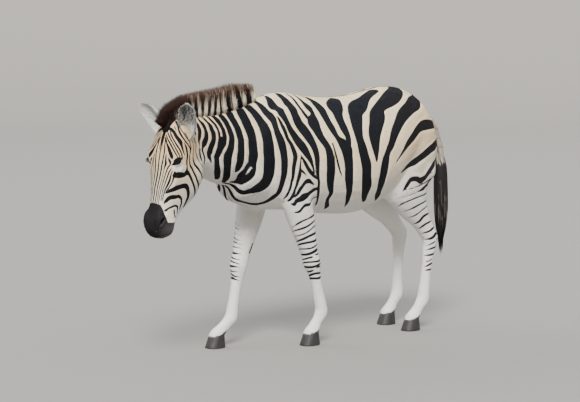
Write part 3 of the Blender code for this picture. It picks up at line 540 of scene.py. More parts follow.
# Dark lines on the left of the head: down the face, degrees round it from its middle, half width.
FACE_LINES = in_metres((
    # down the nose: the middle line, then outwards
    ((100, 0, 4), (140, 0, 4), (180, -.5, 4), (220, -1, 4.2), (260, -1.6, 4.5), (300, -3.8, 5.2),
     (340, -8, 5), (380, -8.6, 4.8), (420, -9, 4)),
    ((85, 4, 3), (120, 3.6, 2), (150, 4, 1.5)),
    ((90, 9, 4), (120, 10.3, 4), (160, 12.5, 4.2), (200, 11, 4.2), (230, 9.6, 4.5), (260, 8.8, 4.8),
     (300, 6.5, 4), (340, 3.3, 4), (380, 3.2, 3.6), (420, 3, 3)),
    ((172, 18.5, 2.5), (190, 18.5, 4), (205, 19.2, 5), (220, 20.6, 6.2), (240, 18.2, 3.5),
     (260, 17.4, 2.6), (300, 14.8, 2.6), (340, 11.8, 2.7), (380, 11.4, 2.6), (420, 11.5, 2)),
    ((190, 25.5, 3), (200, 28, 5.5), (210, 31, 5.5), (222, 31.5, 3.5), (240, 27, 3.8), (260, 25, 3.2),
     (280, 23, 3.2), (300, 21.7, 3.1), (320, 20.2, 3), (340, 19, 2.8), (380, 18.6, 2.6), (420, 19.5, 2)),
    ((232, 37.5, 2), (245, 35.5, 3.2), (260, 32.6, 3.8), (280, 30.6, 3.6), (300, 29.2, 3.2),
     (320, 27.6, 3), (340, 26, 2.7), (360, 25.5, 2.5), (400, 27, 2)),
    ((250, 40.5, 2), (265, 39, 3), (280, 38.7, 4.2), (300, 38.4, 5.2), (320, 36.5, 5.2), (340, 33.6, 4),
     (360, 32, 3), (400, 32.5, 2.2)),
    ((255, 47, 6), (270, 47.8, 6), (285, 47.5, 4.5), (300, 47.2, 3.6), (320, 45, 3.4), (335, 42.3, 3.4),
     (352, 38, 3)),
    # fan over the forehead and the eye
    ((90, 8, 3), (100, 12, 3.5), (120, 16.2, 4.8), (140, 22, 7.5), (160, 27.3, 9.8), (178, 32, 9.8),
     (189, 34.5, 5)),
    ((75, 9, 3), (85, 12, 3.5), (100, 17, 3.8), (120, 25, 4.8), (140, 32, 4.2), (160, 38.6, 4),
     (180, 45.5, 3)),
    ((62, 12, 3), (80, 18, 4), (100, 25, 3.8), (120, 32.5, 3.4), (140, 39, 3.8), (160, 45.5, 4),
     (180, 52, 2.8)),
    ((56, 19.5, 3), (70, 22.5, 4.2), (80, 25.5, 4.5), (100, 32, 4), (120, 39.5, 4.8), (140, 47.5, 4.8),
     (160, 54, 4.4), (178, 58, 3)),
    ((43, -4, 7.5), (43, 10, 8), (44, 18, 8.8), (50, 25, 8.8), (60, 31.5, 8.8), (80, 38, 10),
     (100, 46.5, 11.8), (120, 51.5, 7.2), (140, 56.5, 5), (160, 63, 3)),
    ((28, 29, 2), (36, 33, 3.2), (47, 37, 2)),
    ((0, 34, 6), (20, 41.5, 5.2), (40, 44, 5.2), (60, 48, 6.2), (80, 55, 5.8), (95, 63, 5), (107, 73, 4.5),
     (120, 83, 4.8), (140, 87, 4)),
    ((98, 57.5, 1.5), (110, 61, 4.2), (120, 65, 6), (140, 70.5, 6.5), (160, 74.5, 6), (180, 75, 5.8),
     (200, 78, 5.5), (220, 83, 6), (236, 88, 9)),
    ((50, 62, 3), (70, 70, 3.5), (100, 83, 4.5), (120, 87, 4.5), (140, 85.5, 4), (160, 85.5, 4),
     (180, 88, 5), (200, 95, 6), (210, 105, 6), (220, 114, 6), (240, 127, 5.5), (260, 137, 5),
     (280, 149, 5), (300, 162, 4.5)),
    ((18, 47, 3), (40, 52, 3.5), (60, 60, 3.5), (75, 67, 3), (88, 76, 2)),
    # down the cheek from the ear
    ((70, 92, 2), (100, 100, 3.5), (120, 103, 3.5), (140, 104, 4), (160, 106, 5), (180, 114, 7),
     (200, 130, 7), (220, 142, 5.5), (240, 151, 4.5), (265, 161, 3)),
    ((60, 110, 3.5), (75, 112, 4), (90, 121, 3.5), (110, 119, 3.5), (125, 122, 4), (140, 128, 4),
     (155, 137, 4), (168, 142, 4), (180, 147, 4.5), (190, 153, 5), (200, 159, 5)),
    ((50, 128, 4), (80, 134, 5), (110, 139, 5), (130, 144, 5), (150, 152, 6), (170, 165, 6)),
    # bands that sweep over the cheek and turn down the jaw
    ((268.5, 49, 12.5), (262.5, 59, 16.2), (256.5, 69, 17), (249.5, 79, 16), (239.5, 90, 12.5),
     (244.5, 101, 8.5), (260, 115, 7.8), (278, 128, 6), (294, 138, 6), (311, 147, 6), (328, 155, 6),
     (345, 161, 6)),
    ((362, 37, 3), (358, 40, 5), (348, 48, 9), (336.5, 59, 11.8), (326, 68, 13.5), (316.5, 79.5, 13.2),
     (308.5, 91, 13.5), (304, 104, 13), (313, 117, 11), (327, 126, 9.5), (341, 133, 8.5), (357, 138, 8),
     (373, 141, 7), (389, 144, 6), (404, 148, 4)),
    ((412, 43, 3), (404, 45, 6), (396.5, 49, 9.5), (382, 56, 11.5), (373.5, 68, 12), (369, 83, 10.5),
     (362.5, 94, 9), (367.5, 111, 6.5), (378, 119.5, 6), (391, 125.5, 5.5), (405, 130, 5), (420, 132, 4)),
    ((447, 53, 5), (443, 58, 6), (430.5, 68, 5), (418.5, 86, 6), (411, 99, 6), (411.5, 113, 5.8),
     (420, 120, 5), (434, 124, 4), (448, 128, 3)),
    ((430, 103, 3), (440, 105, 5.5), (452, 112, 5.5), (464, 120, 5)),
))

CREAM, WARM_CREAM = np.array((0.88, 0.74, 0.51)), np.array((0.84, 0.60, 0.36))
WHITE, SHADOW = np.array((0.86, 0.85, 0.81)), np.array((0.42, 0.25, 0.125))
# BLACK's blue tint is a painted reflection of the sky, a sheen painted into every dark hair that uses it;
# HEAD_BLACK takes most of that blue out again.
BLACK, BROWN = np.array((0.0030, 0.0044, 0.0086)), np.array((0.020, 0.012, 0.009))
MUZZLE, DOCK = np.array((0.010, 0.009, 0.010)), np.array((0.33, 0.28, 0.22))
HEAD_BLACK = BLACK * np.array((1.0, 0.75, 0.45))

# Heights of the rings on the fore and the hind legs.
FORE_RINGS = (.640, .612, .585, .558, .532, .506, .480, .455, .432, .410, .388, .366, .345)
HIND_RINGS = (.805, .768, .730, .694, .658, .624, .590, .556, .524, .492, .460, .430, .400, .370, .342, .316)


def ring_lines(heights, reach, rise):
    """Rings open on the inner side: each a line by height and degrees round the leg from its front."""
    lines = []
    swell = np.array((.15, .6, .9, 1, 1, 1.05, 1.1, .8, .3))
    for k, height in enumerate(heights):
        turns = np.linspace(np.interp(height, *reach), 188, len(swell))
        level = height + np.interp(height, *rise) * (turns - 50) / 90 + 0.0035 * np.sin(1.7 * k + turns / 33)
        thick = np.interp(height, (0.54, 0.66), (0.0060, 0.0040)) * (0.9 + 0.22 * math.sin(2.3 * k)) * swell
        rows = list(zip(level, turns, thick))
        if k % 3 == 1 and height < 0.52:
            lines += [rows[:5], [(a + 0.007, b, c * 0.8) for a, b, c in rows[5:]]]
        else:
            lines.append(rows)
    return lines


# By whether it is a foreleg: the lines, the height they end at and the reach from the leg's middle.
LEG_LINES = {
    True: ring_lines(FORE_RINGS, ((.34, .44, .52, .60, .74), (-75, -62, -38, -22, 5)),
                     ((.34, .52, .60, .66, .74), (.008, .014, .032, .047, .054)))
    + [[(.512, 232, .009), (.475, 236, .010)]],
    False: ring_lines(HIND_RINGS, ((.31, .45, .60, .70, .80), (15, 10, 10, 20, 60)),
                      ((.31, .50, .65, .80), (.010, .018, .034, .050))),
}
LEG_TOP = {True: 0.71, False: 0.85}
LEG_REACH = {True: 0.115, False: 0.20}
LEG_LEVELS = np.linspace(0.05, 0.85, 27)


def leg_middles(name):
    """The middle of a leg at each level."""
    spots = mesh_arrays(nodes[name].data)[0]
    rings = [spots[np.abs(spots[:, 2] - level) < 0.03] for level in LEG_LEVELS]
    return np.array([(ring.min(0) + ring.max(0)) / 2 for ring in rings])


LEG_MIDDLES = {name: leg_middles(name) for name in LEGS}


def leg_marks(points):
    """Depth inside the short broken rings on the legs."""
    p = points - MOVED
    fore, left = p[:, 1] < 0.15, p[:, 0] > 0
    depth = np.full(len(p), FAR_OUT)
    for name, middles in LEG_MIDDLES.items():
        front, on_left = name.startswith("fore"), name.endswith("left")
        on = np.flatnonzero((fore == front) & (left == on_left) & (p[:, 2] < LEG_TOP[front]))
        if len(on) == 0:
            continue
        middle = [np.interp(points[on, 2], LEG_LEVELS, middles[:, k]) for k in (0, 1)]
        away = points[on, :2] - np.stack(middle, 1)
        reach = np.hypot(*away.T)
        outward = away[:, 0] * (1 if on_left else -1)
        turn = (np.degrees(np.arctan2(outward, -away[:, 1])) + 90) % 360 - 90
        rings = line_depth(p[on, 2], turn, reach * math.pi / 180, LEG_LINES[front])
        depth[on] = np.where(reach < LEG_REACH[front], rings, FAR_OUT)
    return depth


def body_marks(points):
    """Depth inside the dark marks, and the light and dark colours, behind the head."""
    along, around, radius = body_places(points)
    p = points - MOVED
    z = p[:, 2]
    right = around < 0
    along = along + np.where(right, 0.008 * np.sin(9 * along + 1.0) + 0.005 * np.sin(31 * along), 0)
    turn = np.abs(around)
    turn = turn + np.where(right, 2.0 * np.sin(11 * along + turn / 25), 0)
    depth = line_depth(along, turn, radius * math.pi / 180, BODY_STRIPES)
    spine = np.interp(along, [-0.35, -0.25, 0.5, 0.75], [0.0, 0.006, 0.011, 0.012])
    spine_gap = np.abs(np.radians(around)) * radius
    depth = np.where((along > -0.3) & (turn < 60), np.maximum(depth, spine - spine_gap), depth)
    belly = np.interp(along, [-0.25, -0.15, 0.2, 0.3], [0.0, 0.010, 0.010, 0.0])
    depth = np.where(turn > 120, np.maximum(depth, belly - np.radians(180 - turn) * radius), depth)
    inner = ramp(0.12 - np.abs(p[:, 0]), 0.0, 0.05) * ramp(0.74 - z, 0, 0.06)
    depth = depth - 0.03 * inner - 0.02 * ramp(np.where(along > 0.2, 0.80, 0.70) - z, 0, 0.10)
    depth = np.maximum(depth, leg_marks(points))
    light = mixed(CREAM, WHITE, np.maximum(ramp(turn, 85, 150), ramp(0.85 - z, 0, 0.15)))
    dark = mixed(BLACK, BROWN, 0.35 * ramp(along, 0.1, 0.6) + 0.25 * ramp(turn, 110, 150))
    light = mixed(light, WARM_CREAM, 0.30 * ramp(-along, 0.65, 0.85) * (1 - ramp(turn, 85, 110)))
    haunch = ramp(along, 0.28, 0.45) * band(turn, 45, 70, 128, 140)
    between = ramp(-depth, 0.012, 0.018) * haunch * (0.5 + 0.3 * np.sin(40 * along + turn / 9))
    light = mixed(light, SHADOW, 0.5 * between)
    dock = ramp(along, 0.70, 0.735) * ramp(1.16 - z, 0, 0.03)
    light = mixed(light, DOCK, 0.85 * dock)
    bars = 0.0012 - 0.012 * np.abs(np.sin(z * 62))
    bars = np.maximum(depth - 0.03, bars * ramp(np.abs(p[:, 0]), 0.002, 0.012))
    return np.where(dock > 0.5, bars, depth), light, dark


def eye_rim(points, side):
    """Depth inside the dark skin round an eye, drawn out to a point at both corners."""
    out, across, up, gap = eye_places(points, side)
    rim = np.interp(across, [-0.034, -0.02, 0, 0.02, 0.027], [0.003, 0.005, 0.0055, 0.006, 0.002])
    rim = rim + eye_opening(across, up) + 0.0035 * ramp(up, 0.0, 0.010)
    reached = np.clip(1 - ((across - 0.001) / 0.036) ** 2, 0, 1)
    drawn_out = np.minimum(0.0125 * reached ** 1.1 - up, up + 0.0125 * reached ** 1.3)
    rim = np.maximum(rim, np.where(reached > 0, drawn_out, -0.01))
    return np.where((gap < 0.042) & (out > 0), rim, FAR_OUT)


def head_marks(points):
    """Depth inside the dark marks, and the light and dark colours, on the head."""
    down, below, side, angle = head_places(points)
    reach = np.hypot(side, np.interp(down, *HEAD_MIDDLE) - below)
    middle = np.interp(down, [.16, .22, .26, .30, .34, .38, .42], [0, -1, -1.6, -3.8, -8, -8.6, -9])
    middle = middle * (1 - ramp(np.abs(angle), 30, 60))
    turn = middle + np.abs(angle - middle)
    face = line_depth(down, turn, reach * math.pi / 180, FACE_LINES)
    brow = 1 - np.hypot((down - 0.082) / 0.046, angle / 5.5)
    face = np.maximum(face, 0.012 * brow)
    limit = np.interp(turn, [0, 30, 45, 60, 80, 110, 180], [.412, .418, .440, .470, .497, .490, .470])
    snout = ramp(down, limit - 0.004, limit + 0.012)
    # the white patch under the eye
    patch = band(down, 0.203, 0.211, 0.240, 0.248) * band(turn, 36, 42, 74, 80)
    face = face - 0.02 * patch * (eye_gap(points) > 0.026)
    for which in SIDES:
        face = np.maximum(face, eye_rim(points, which))
    face = np.maximum(face, (snout - 0.5) * 0.006 + np.where(snout > 0.99, 0.02, 0))
    light = mixed(CREAM, WARM_CREAM, 0.6 * (1 - ramp(down, 0.10, 0.26)))
    white = np.clip(ramp(down, 0.20, 0.40) * 0.6 + patch + ramp(turn, 100, 150) * 0.5, 0, 1)
    # Painted sheen: on the muzzle the dark colour is made lighter grey at the chin and along the lower sides,
    # standing in for the highlights on its skin.
    chin = ramp(below, 0.07, 0.10) * ramp(down, 0.47, 0.52)
    pale = ramp(turn, 40, 95) * ramp(down, 0.47, 0.54)
    dark = mixed(HEAD_BLACK, MUZZLE, snout) * (1 + (3.5 * chin + 5.0 * pale) * snout)[:, None]
    return face, mixed(light, WHITE, white), dark


def markings(points):
    """Depth inside the dark marks, and the light and dark colours, at places on the skin."""
    on = head_share(points) > 0.5
    depth, light, dark = body_marks(points)
    face, face_light, face_dark = head_marks(points)
    depth = np.where(on, face, depth)
    return depth, np.where(on[:, None], face_light, light), np.where(on[:, None], face_dark, dark)


# ------------------------------------------------------------ materials


def material(name, roughness):
    made = bpy.data.materials.new(name)
    made.use_nodes = True
    shader = made.node_tree.nodes["Principled BSDF"]
    shader.inputs["Roughness"].default_value = roughness
    return made, made.node_tree, shader


def attribute_node(tree, name):
    node = tree.nodes.new("ShaderNodeAttribute")
    node.attribute_name = name
    return node


def fed(tree, sockets, values):
    """Sockets given numbers or colours, or linked to other nodes' outputs."""
    for socket, value in zip(sockets, values):
        if isinstance(value, bpy.types.NodeSocket):
            tree.links.new(value, socket)
        else:
            socket.default_value = value


def math_node(tree, operation, *values):
    node = tree.nodes.new("ShaderNodeMath")
    node.operation = operation
    fed(tree, node.inputs, values)
    return node.outputs[0]


def mix_node(tree, *values):
    """A colour mixed by a share (the first value) from two colours."""
    node = tree.nodes.new("ShaderNodeMix")
    node.data_type = "RGBA"
    fed(tree, (node.inputs["Factor"], node.inputs[6], node.inputs[7]), values)
    return node.outputs[2]


def bumped(tree, shader, height, strength, distance):
    node = tree.nodes.new("ShaderNodeBump")
    fed(tree, (node.inputs[k] for k in ("Strength", "Distance", "Height")), (strength, distance, height))
    tree.links.new(node.outputs[0], shader.inputs["Normal"])


def noise_node(tree, scale, detail=3.0, stretch=(1, 1, 1)):
    place = tree.nodes.new("ShaderNodeTexCoord")
    mapping = tree.nodes.new("ShaderNodeMapping")
    fed(tree, (mapping.inputs["Scale"], mapping.inputs["Vector"]), (stretch, place.outputs["Object"]))
    noise = tree.nodes.new("ShaderNodeTexNoise")
    sockets = (noise.inputs[k] for k in ("Scale", "Detail", "Vector"))
    fed(tree, sockets, (scale, detail, mapping.outputs[0]))
    return noise.outputs["Fac"]


def hide_material():
    made, tree, shader = material("zebra_skin", 0.7)
    depth = attribute_node(tree, "stripe").outputs["Fac"]
    edge = math_node(tree, "MULTIPLY", noise_node(tree, 260, 4), 0.0022)
    depth = math_node(tree, "ADD", math_node(tree, "SUBTRACT", depth, 0.0011), edge)
    share = tree.nodes.new("ShaderNodeMapRange")
    share.inputs["From Min"].default_value, share.inputs["From Max"].default_value = -0.0007, 0.0007
    tree.links.new(depth, share.inputs["Value"])
    light, dark = (attribute_node(tree, name).outputs["Color"] for name in ("light", "dark"))
    tree.links.new(mix_node(tree, share.outputs[0], light, dark), shader.inputs["Base Color"])
    bumped(tree, shader, noise_node(tree, 420, 4), 0.35, 0.0015)
    shader.inputs["Specular IOR Level"].default_value = 0.25
    return made


def put_attribute(data, name, kind, values):
    made = data.attributes.new(name, kind, "POINT")
    values = np.asarray(values, np.float32)
    if kind == "FLOAT":
        made.data.foreach_set("value", values.ravel())
    else:
        full = np.ones((len(values), 4), np.float32)
        full[:, :3] = values
        made.data.foreach_set("color", full.ravel())


depth, light, dark = markings(points)
put_attribute(skin.data, "stripe", "FLOAT", depth)
put_attribute(skin.data, "light", "FLOAT_COLOR", light)
put_attribute(skin.data, "dark", "FLOAT_COLOR", dark)
skin.data.materials.clear()
skin.data.materials.append(hide_material())

# ------------------------------------------------------------ coat


def roots_on(points, corners, share, count):
    """Places spread evenly over the triangles with a share, with their normals."""
    a, b, c = (points[corners[:, k]] for k in range(3))
    area = np.linalg.norm(np.cross(b - a, c - a), axis=1) * share
    total = np.cumsum(area)
    picks = (np.arange(count) + rng.random(count)) * total[-1] / count
    i = np.minimum(np.searchsorted(total, picks), len(corners) - 1)
    u, v = rng.random(count), rng.random(count)
    flip = u + v > 1
    u, v = np.where(flip, 1 - u, u)[:, None], np.where(flip, 1 - v, v)[:, None]

    def within(a, b, c):
        return a + u * (b - a) + v * (c - a)

    normals = point_normals(points, corners)
    return within(a[i], b[i], c[i]), unit(within(*(normals[corners[i, k]] for k in range(3))))


def laid_down(flow, normals):
    """Directions laid along the surface."""
    flow = flow - normals * (flow * normals).sum(1)[:, None]
    return flow / np.maximum(np.linalg.norm(flow, axis=1), 1e-6)[:, None]


HEAD_DOWN = unit(on_head(0.3, 0.1, 0)[0] - on_head(0.2, 0.1, 0)[0])
HEAD_BACK = unit(on_head(0.2, 0.2, 0)[0] - on_head(0.2, 0.1, 0)[0])


def lie_of_hair(places, normals):
    """The way the hair lies: back over the body, down the face and the legs."""
    p = places - MOVED
    sideways = np.sign(p[:, 0]) * ramp(np.abs(normals[:, 0]), 0, 0.5)
    steep = 0.20 + 0.30 * np.abs(sideways)
    flow = np.stack([0 * steep, np.ones(len(p)), -steep], 1)
    low = ramp(0.86 - p[:, 2], 0, 0.20) * (np.abs(p[:, 1] + 0.1) < 1.0)
    flow = mixed(flow, np.array((0.0, 0.16, -1.0)), low)
    flow = mixed(flow, np.array((0.0, 0.1, -1.0)), ramp(p[:, 1], 0.72, 0.77))
    down, _, _, angle = head_places(places)
    above = ramp(0.125 - down, -0.02, 0.03) * (1 - ramp(np.abs(angle), 50, 80))
    face = mixed(HEAD_DOWN, -HEAD_DOWN + 0.4 * HEAD_BACK, above)
    cheek = ramp(np.abs(angle), 55, 120)
    face = face + cheek[:, None] * 0.45 * HEAD_BACK
    return laid_down(np.where(head_share(places)[:, None] > 0.5, face, flow), normals)


def tuft_mesh(name, places, normals, flow, length, width, lift, colour, unwrap):
    """Closed keeled locks: a base, a crest part of the way and a lifted tip, each lock of one colour with
    painted shade at the base and a little painted light at the tip.
    """
    n = len(places)
    sideways = np.cross(normals, flow)
    length, width, lift = (np.broadcast_to(v, n)[:, None] for v in (length, width, lift))
    base = places - normals * 0.0004
    rows = np.stack([
        base - sideways * width / 2,
        base + sideways * width / 2,
        places + flow * length * 0.35 + normals * (0.0005 + lift * 0.35),
        places + flow * length + normals * lift,
    ], 1)
    corners = np.array([(0, 2, 1), (0, 3, 2), (1, 2, 3), (0, 1, 3)])
    index = (np.arange(n)[:, None, None] * 4 + corners[None]).reshape(-1)
    patch = np.array([(0.0, 0.0), (1.0, 0.0), (0.5, 0.35), (0.5, 1.0)]) * 0.003
    uv = (unwrap[:, None] + patch[None]).reshape(-1, 2)
    # Painted shade and light: the base corners take 0.8 of the lock's colour for the shade among the hairs,
    # the tip 1.06 of it as a little painted light.
    tone = np.repeat(colour[:, None], 4, 1) * np.array((0.80, 0.80, 1.0, 1.06))[None, :, None]
    return hair_object(name, rows.reshape(-1, 3), index.reshape(-1, 3), uv, tone.reshape(-1, 3))


def hair_object(name, points, triangles, uv, colour):
    data = bpy.data.meshes.new(name)
    data.vertices.add(len(points))
    data.loops.add(len(triangles) * 3)
    data.polygons.add(len(triangles))
    data.vertices.foreach_set("co", points.astype(np.float32).ravel())
    data.loops.foreach_set("vertex_index", triangles.astype(np.int32).ravel())
    data.polygons.foreach_set("loop_start", np.arange(0, len(triangles) * 3, 3, dtype=np.int32))
    data.polygons.foreach_set("use_smooth", np.ones(len(triangles), bool))
    data.update(calc_edges=True)
    layer = data.uv_layers.new(name="OFBake")
    layer.data.foreach_set("uv", uv[triangles.ravel()].astype(np.float32).ravel())
    put_attribute(data, "coat", "FLOAT_COLOR", np.clip(colour, 0, 1))
    data.materials.append(HAIR)
    made = new_object(name, data)
    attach(made, "root")
    return made


def hair_material():
    made, tree, shader = material("zebra_hair", 0.62)
    tree.links.new(attribute_node(tree, "coat").outputs["Color"], shader.inputs["Base Color"])
    shader.inputs["Specular IOR Level"].default_value = 0.22
    return made


HAIR = hair_material()


def spread_out(values):
    """Values brought to between 0 and 1, with room for a patch at the end."""
    low, high = values.min(0), values.max(0)
    return (values - low) / (high - low) * 0.996


def tuft_colours(places, flow, length):
    """One colour for each tuft, read where its middle lies."""
    depth, light, dark = markings(places + flow * np.asarray(length)[:, None] * 0.4)
    depth = depth + rng.normal(0, 0.0005, len(depth))
    colour = np.where(depth[:, None] > 0, dark, light)
    edge = np.abs(depth)[:, None] < 0.0006
    colour = np.where(edge, 0.6 * colour + 0.4 * (light * 0.5 + dark * 0.5), colour)
    return colour * rng.normal(1, 0.07, len(depth))[:, None]


def coat(name, chosen, count, sizes):
    """A piece of the coat over the chosen triangles of the skin. `sizes` gives length, width and lift."""
    middles = skin_points[skin_corners].mean(1)
    share = chosen(middles)
    places, normals = roots_on(skin_points, skin_corners, share, count)
    flow = lie_of_hair(places, normals)
    swirl = rng.normal(0, 0.13, count)[:, None]
    flow = flow * np.cos(swirl) + np.cross(normals, flow) * np.sin(swirl)
    length, width, lift = sizes(places)
    length = length * rng.uniform(0.8, 1.2, count)
    ends = [markings(places + flow * (length * at)[:, None])[0] > 0 for at in (0, 1)]
    length = length * np.where(ends[0] != ends[1], 0.45, 1.0)  # shorter across a stripe's edge
    colour = tuft_colours(places, flow, length)
    along, around, _ = body_places(places)
    down, _, _, angle = head_places(places)
    on_face = head_share(places)[:, None] > 0.5
    low = places[:, 2:] < 0.70
    unwrap = np.where(on_face, np.stack([down, angle / 300], 1), np.stack([along, around / 300], 1))
    leg_turn = np.arctan2(np.abs(places[:, 0]) - 0.11, along) / 6
    unwrap = np.where(low & ~on_face, np.stack([leg_turn, places[:, 2]], 1), unwrap)
    made = tuft_mesh(name, places, normals, flow, length, width, lift, colour, spread_out(unwrap))
    return made


skin_points, _, skin_corners = mesh_arrays(skin.data)


def clear_of_eyes(places):
    """1 where hair may grow: 0 between the lids and in the nostrils."""
    share = np.ones(len(places))
    for side in SIDES:
        out, across, up, reach = eye_places(places, side)
        high, low = lid_heights(across)
        inside = (np.minimum(high - up, up - low) > -0.0022) & (np.abs(across) < EYE_HALF + 0.002)
        share *= ~(inside & (out > 0) & (reach < LID_REACH))
        ring, _, reach = nostril_places(places, side)
        share *= ~((reach < NOSTRIL_REACH) & (ring < 1.25))
    return share


def body_sizes(places):
    """Length, width and lift of the tufts, all smaller down the legs."""
    leg = ramp(0.80 - places[:, 2], 0, 0.25)
    return 0.0130 - 0.0055 * leg, 0.0024 - 0.0007 * leg, 0.0014 - 0.0005 * leg


def head_sizes(places):
    """Length, width and lift of the tufts, all smaller on the muzzle and round the eyes."""
    small = np.clip(ramp(head_places(places)[0], 0.40, 0.50) + 1 - ramp(eye_gap(places), 0.026, 0.050), 0, 1)
    return 0.0062 - 0.0034 * small, 0.0016 - 0.0004 * small, 0.0009 - 0.0005 * small


def region(places):
    """0 trunk, 1 neck, 2 head, 3 forelegs, 4 hind legs."""
    p = straightened(places)
    low = p[:, 2] < np.interp(p[:, 1], [-0.6, -0.3, 0.2, 0.45, 0.8], [0.74, 0.70, 0.66, 0.80, 0.84])
    where = np.where(p[:, 1] < -0.50, 1, 0)
    where = np.where(low & (p[:, 1] > -0.80), np.where(p[:, 1] < 0.15, 3, 4), where)
    return np.where(head_share(places) > 0.5, 2, where)


def face_side(places):
    return head_places(places)[2] > 0


HOOF_TOP = 0.06
coat("coat_trunk_left", lambda p: (region(p) == 0) & (p[:, 0] > MOVED[0]), 43000, body_sizes)
coat("coat_trunk_right", lambda p: (region(p) == 0) & (p[:, 0] <= MOVED[0]), 43000, body_sizes)
coat("coat_neck", lambda p: region(p) == 1, 43000, body_sizes)
coat("coat_forelegs", lambda p: (region(p) == 3) & (p[:, 2] > HOOF_TOP), 36000, body_sizes)
coat("coat_hindlegs", lambda p: (region(p) == 4) & (p[:, 2] > HOOF_TOP), 38000, body_sizes)
coat("coat_head_left", lambda p: ((region(p) == 2) & face_side(p)) * clear_of_eyes(p), 41000, head_sizes)
coat("coat_head_right", lambda p: ((region(p) == 2) & ~face_side(p)) * clear_of_eyes(p), 41000, head_sizes)

# ------------------------------------------------------------ long hair


def strands(name, paths, width, colours, unwrap):
    """Closed three-sided hairs that taper to a tip. `paths` holds a place for each hair and level."""
    n, levels, _ = paths.shape
    along = unit(np.gradient(paths, axis=1))
    spin = rng.random(n) * 2 * math.pi
    any_way = np.stack([np.cos(spin), np.sin(spin), 0.3 + 0 * spin], 1)[:, None]
    side = np.cross(along, any_way)
    side /= np.maximum(np.linalg.norm(side, axis=2), 1e-9)[..., None]
    other = np.cross(along, side)
    radius = width / 2 * np.linspace(1, 0.45, levels - 1)[None, :, None]
    rings = []
    for k in range(3):
        turn = 2 * math.pi * k / 3
        reach = (side * math.cos(turn) + other * math.sin(turn))[:, :-1]
        rings.append(paths[:, :-1] + reach * radius)
    body = np.stack(rings, 2).reshape(n, -1, 3)
    points = np.concatenate([body, paths[:, -1:]], 1)
    size = points.shape[1]
    faces = [(0, 2, 1)]
    for level in range(levels - 2):
        for k in range(3):
            a, b = level * 3 + k, level * 3 + (k + 1) % 3
            faces += [(a, b, b + 3), (a, b + 3, a + 3)]
    last = (levels - 2) * 3
    faces += [(last + k, last + (k + 1) % 3, size - 1) for k in range(3)]
    index = (np.arange(n)[:, None, None] * size + np.array(faces)[None]).reshape(-1, 3)
    tone = np.concatenate([np.repeat(colours[:, :-1], 3, 1), colours[:, -1:]], 1).reshape(-1, 3)
    up = np.concatenate([np.repeat(np.arange(levels - 1), 3), [levels - 1]]) / (levels - 1)
    patch = np.stack([np.tile([0.2, 0.8, 0.5], size // 3 + 1)[:size], up], 1) * 0.003
    uv = (unwrap[:, None] + patch[None]).reshape(-1, 2)
    return hair_object(name, points.reshape(-1, 3), index, uv, tone)


# The crest of the neck under the mane from the forehead back (y, z), and the mane's height by the share
# of the way.
CREST = ((-1.118, 1.148), (-1.092, 1.169), (-1.020, 1.180), (-0.900, 1.182), (-0.800, 1.184), (-0.680, 1.192),
         (-0.570, 1.220), (-0.460, 1.255))
MANE_RISE = ((0.0, 0.42), (0.08, 0.66), (0.2, 0.84), (0.4, 0.94), (0.6, 1.0), (0.8, 1.0), (1.0, 0.68))
MANE_HEIGHT, MANE_HALF = 0.135, 0.018
# Light bars of the mane: place along the neck and half width at the root, then at the tip.
MANE_BARS = ((-.475, .014, -.470, .015), (-.535, .012, -.532, .013), (-.600, .012, -.593, .014),
             (-.624, -.004, -.622, .008), (-.668, .0115, -.668, .019), (-.720, .012, -.717, .0105),
             (-.769, .0105, -.751, .011), (-.818, .0115, -.796, .0175), (-.850, .0115, -.876, .011),
             (-.905, .006, -.925, .013), (-.985, .007, -.985, .007), (-1.047, .012, -1.050, .002))
TIP_BROWN = np.array((0.042, 0.015, 0.008))


def turned_with_neck(points):
    angle = HEAD_TURN * np.clip((NECK_BASE - points[:, 1]) / NECK_REACH, 0, 1)
    return swung(points, angle) + MOVED


def mane_colours(along, height):
    """Colour of the mane's hair by its root's place along the neck and by height as a share."""
    bar = np.max([a[1] + (a[3] - a[1]) * height - np.abs(along - a[0] - (a[2] - a[0]) * height)
                  for a in MANE_BARS], axis=0)
    light = mixed(CREAM * 0.95, WHITE, 0.35 * np.ones(len(along)))
    colour = np.where(bar[:, None] > 0, light, BLACK)
    colour = mixed(colour, TIP_BROWN, ramp(height, 0.66, 0.84))
    front = ramp(-along, 0.93, 1.0) * (0.35 + 0.65 * ramp(height, 0.25, 0.5))
    return mixed(colour, 0.5 * TIP_BROWN, front)


def bare_looks(core, colour):
    """The skin under hair: one colour for each point, smooth, and riding the body."""
    put_attribute(core.data, "coat", "FLOAT_COLOR", colour)
    smooth_faces(core.data)
    core.data.materials.append(HAIR)
    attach(core, "root")


NECK_CREST = curve_through(CREST, 12)


def height_in_mane(straight):
    """Height over the neck's crest as a share of the mane's, for places on the straightened animal."""
    return (straight[:, 2] - np.interp(straight[:, 1], *NECK_CREST.T)) / MANE_HEIGHT


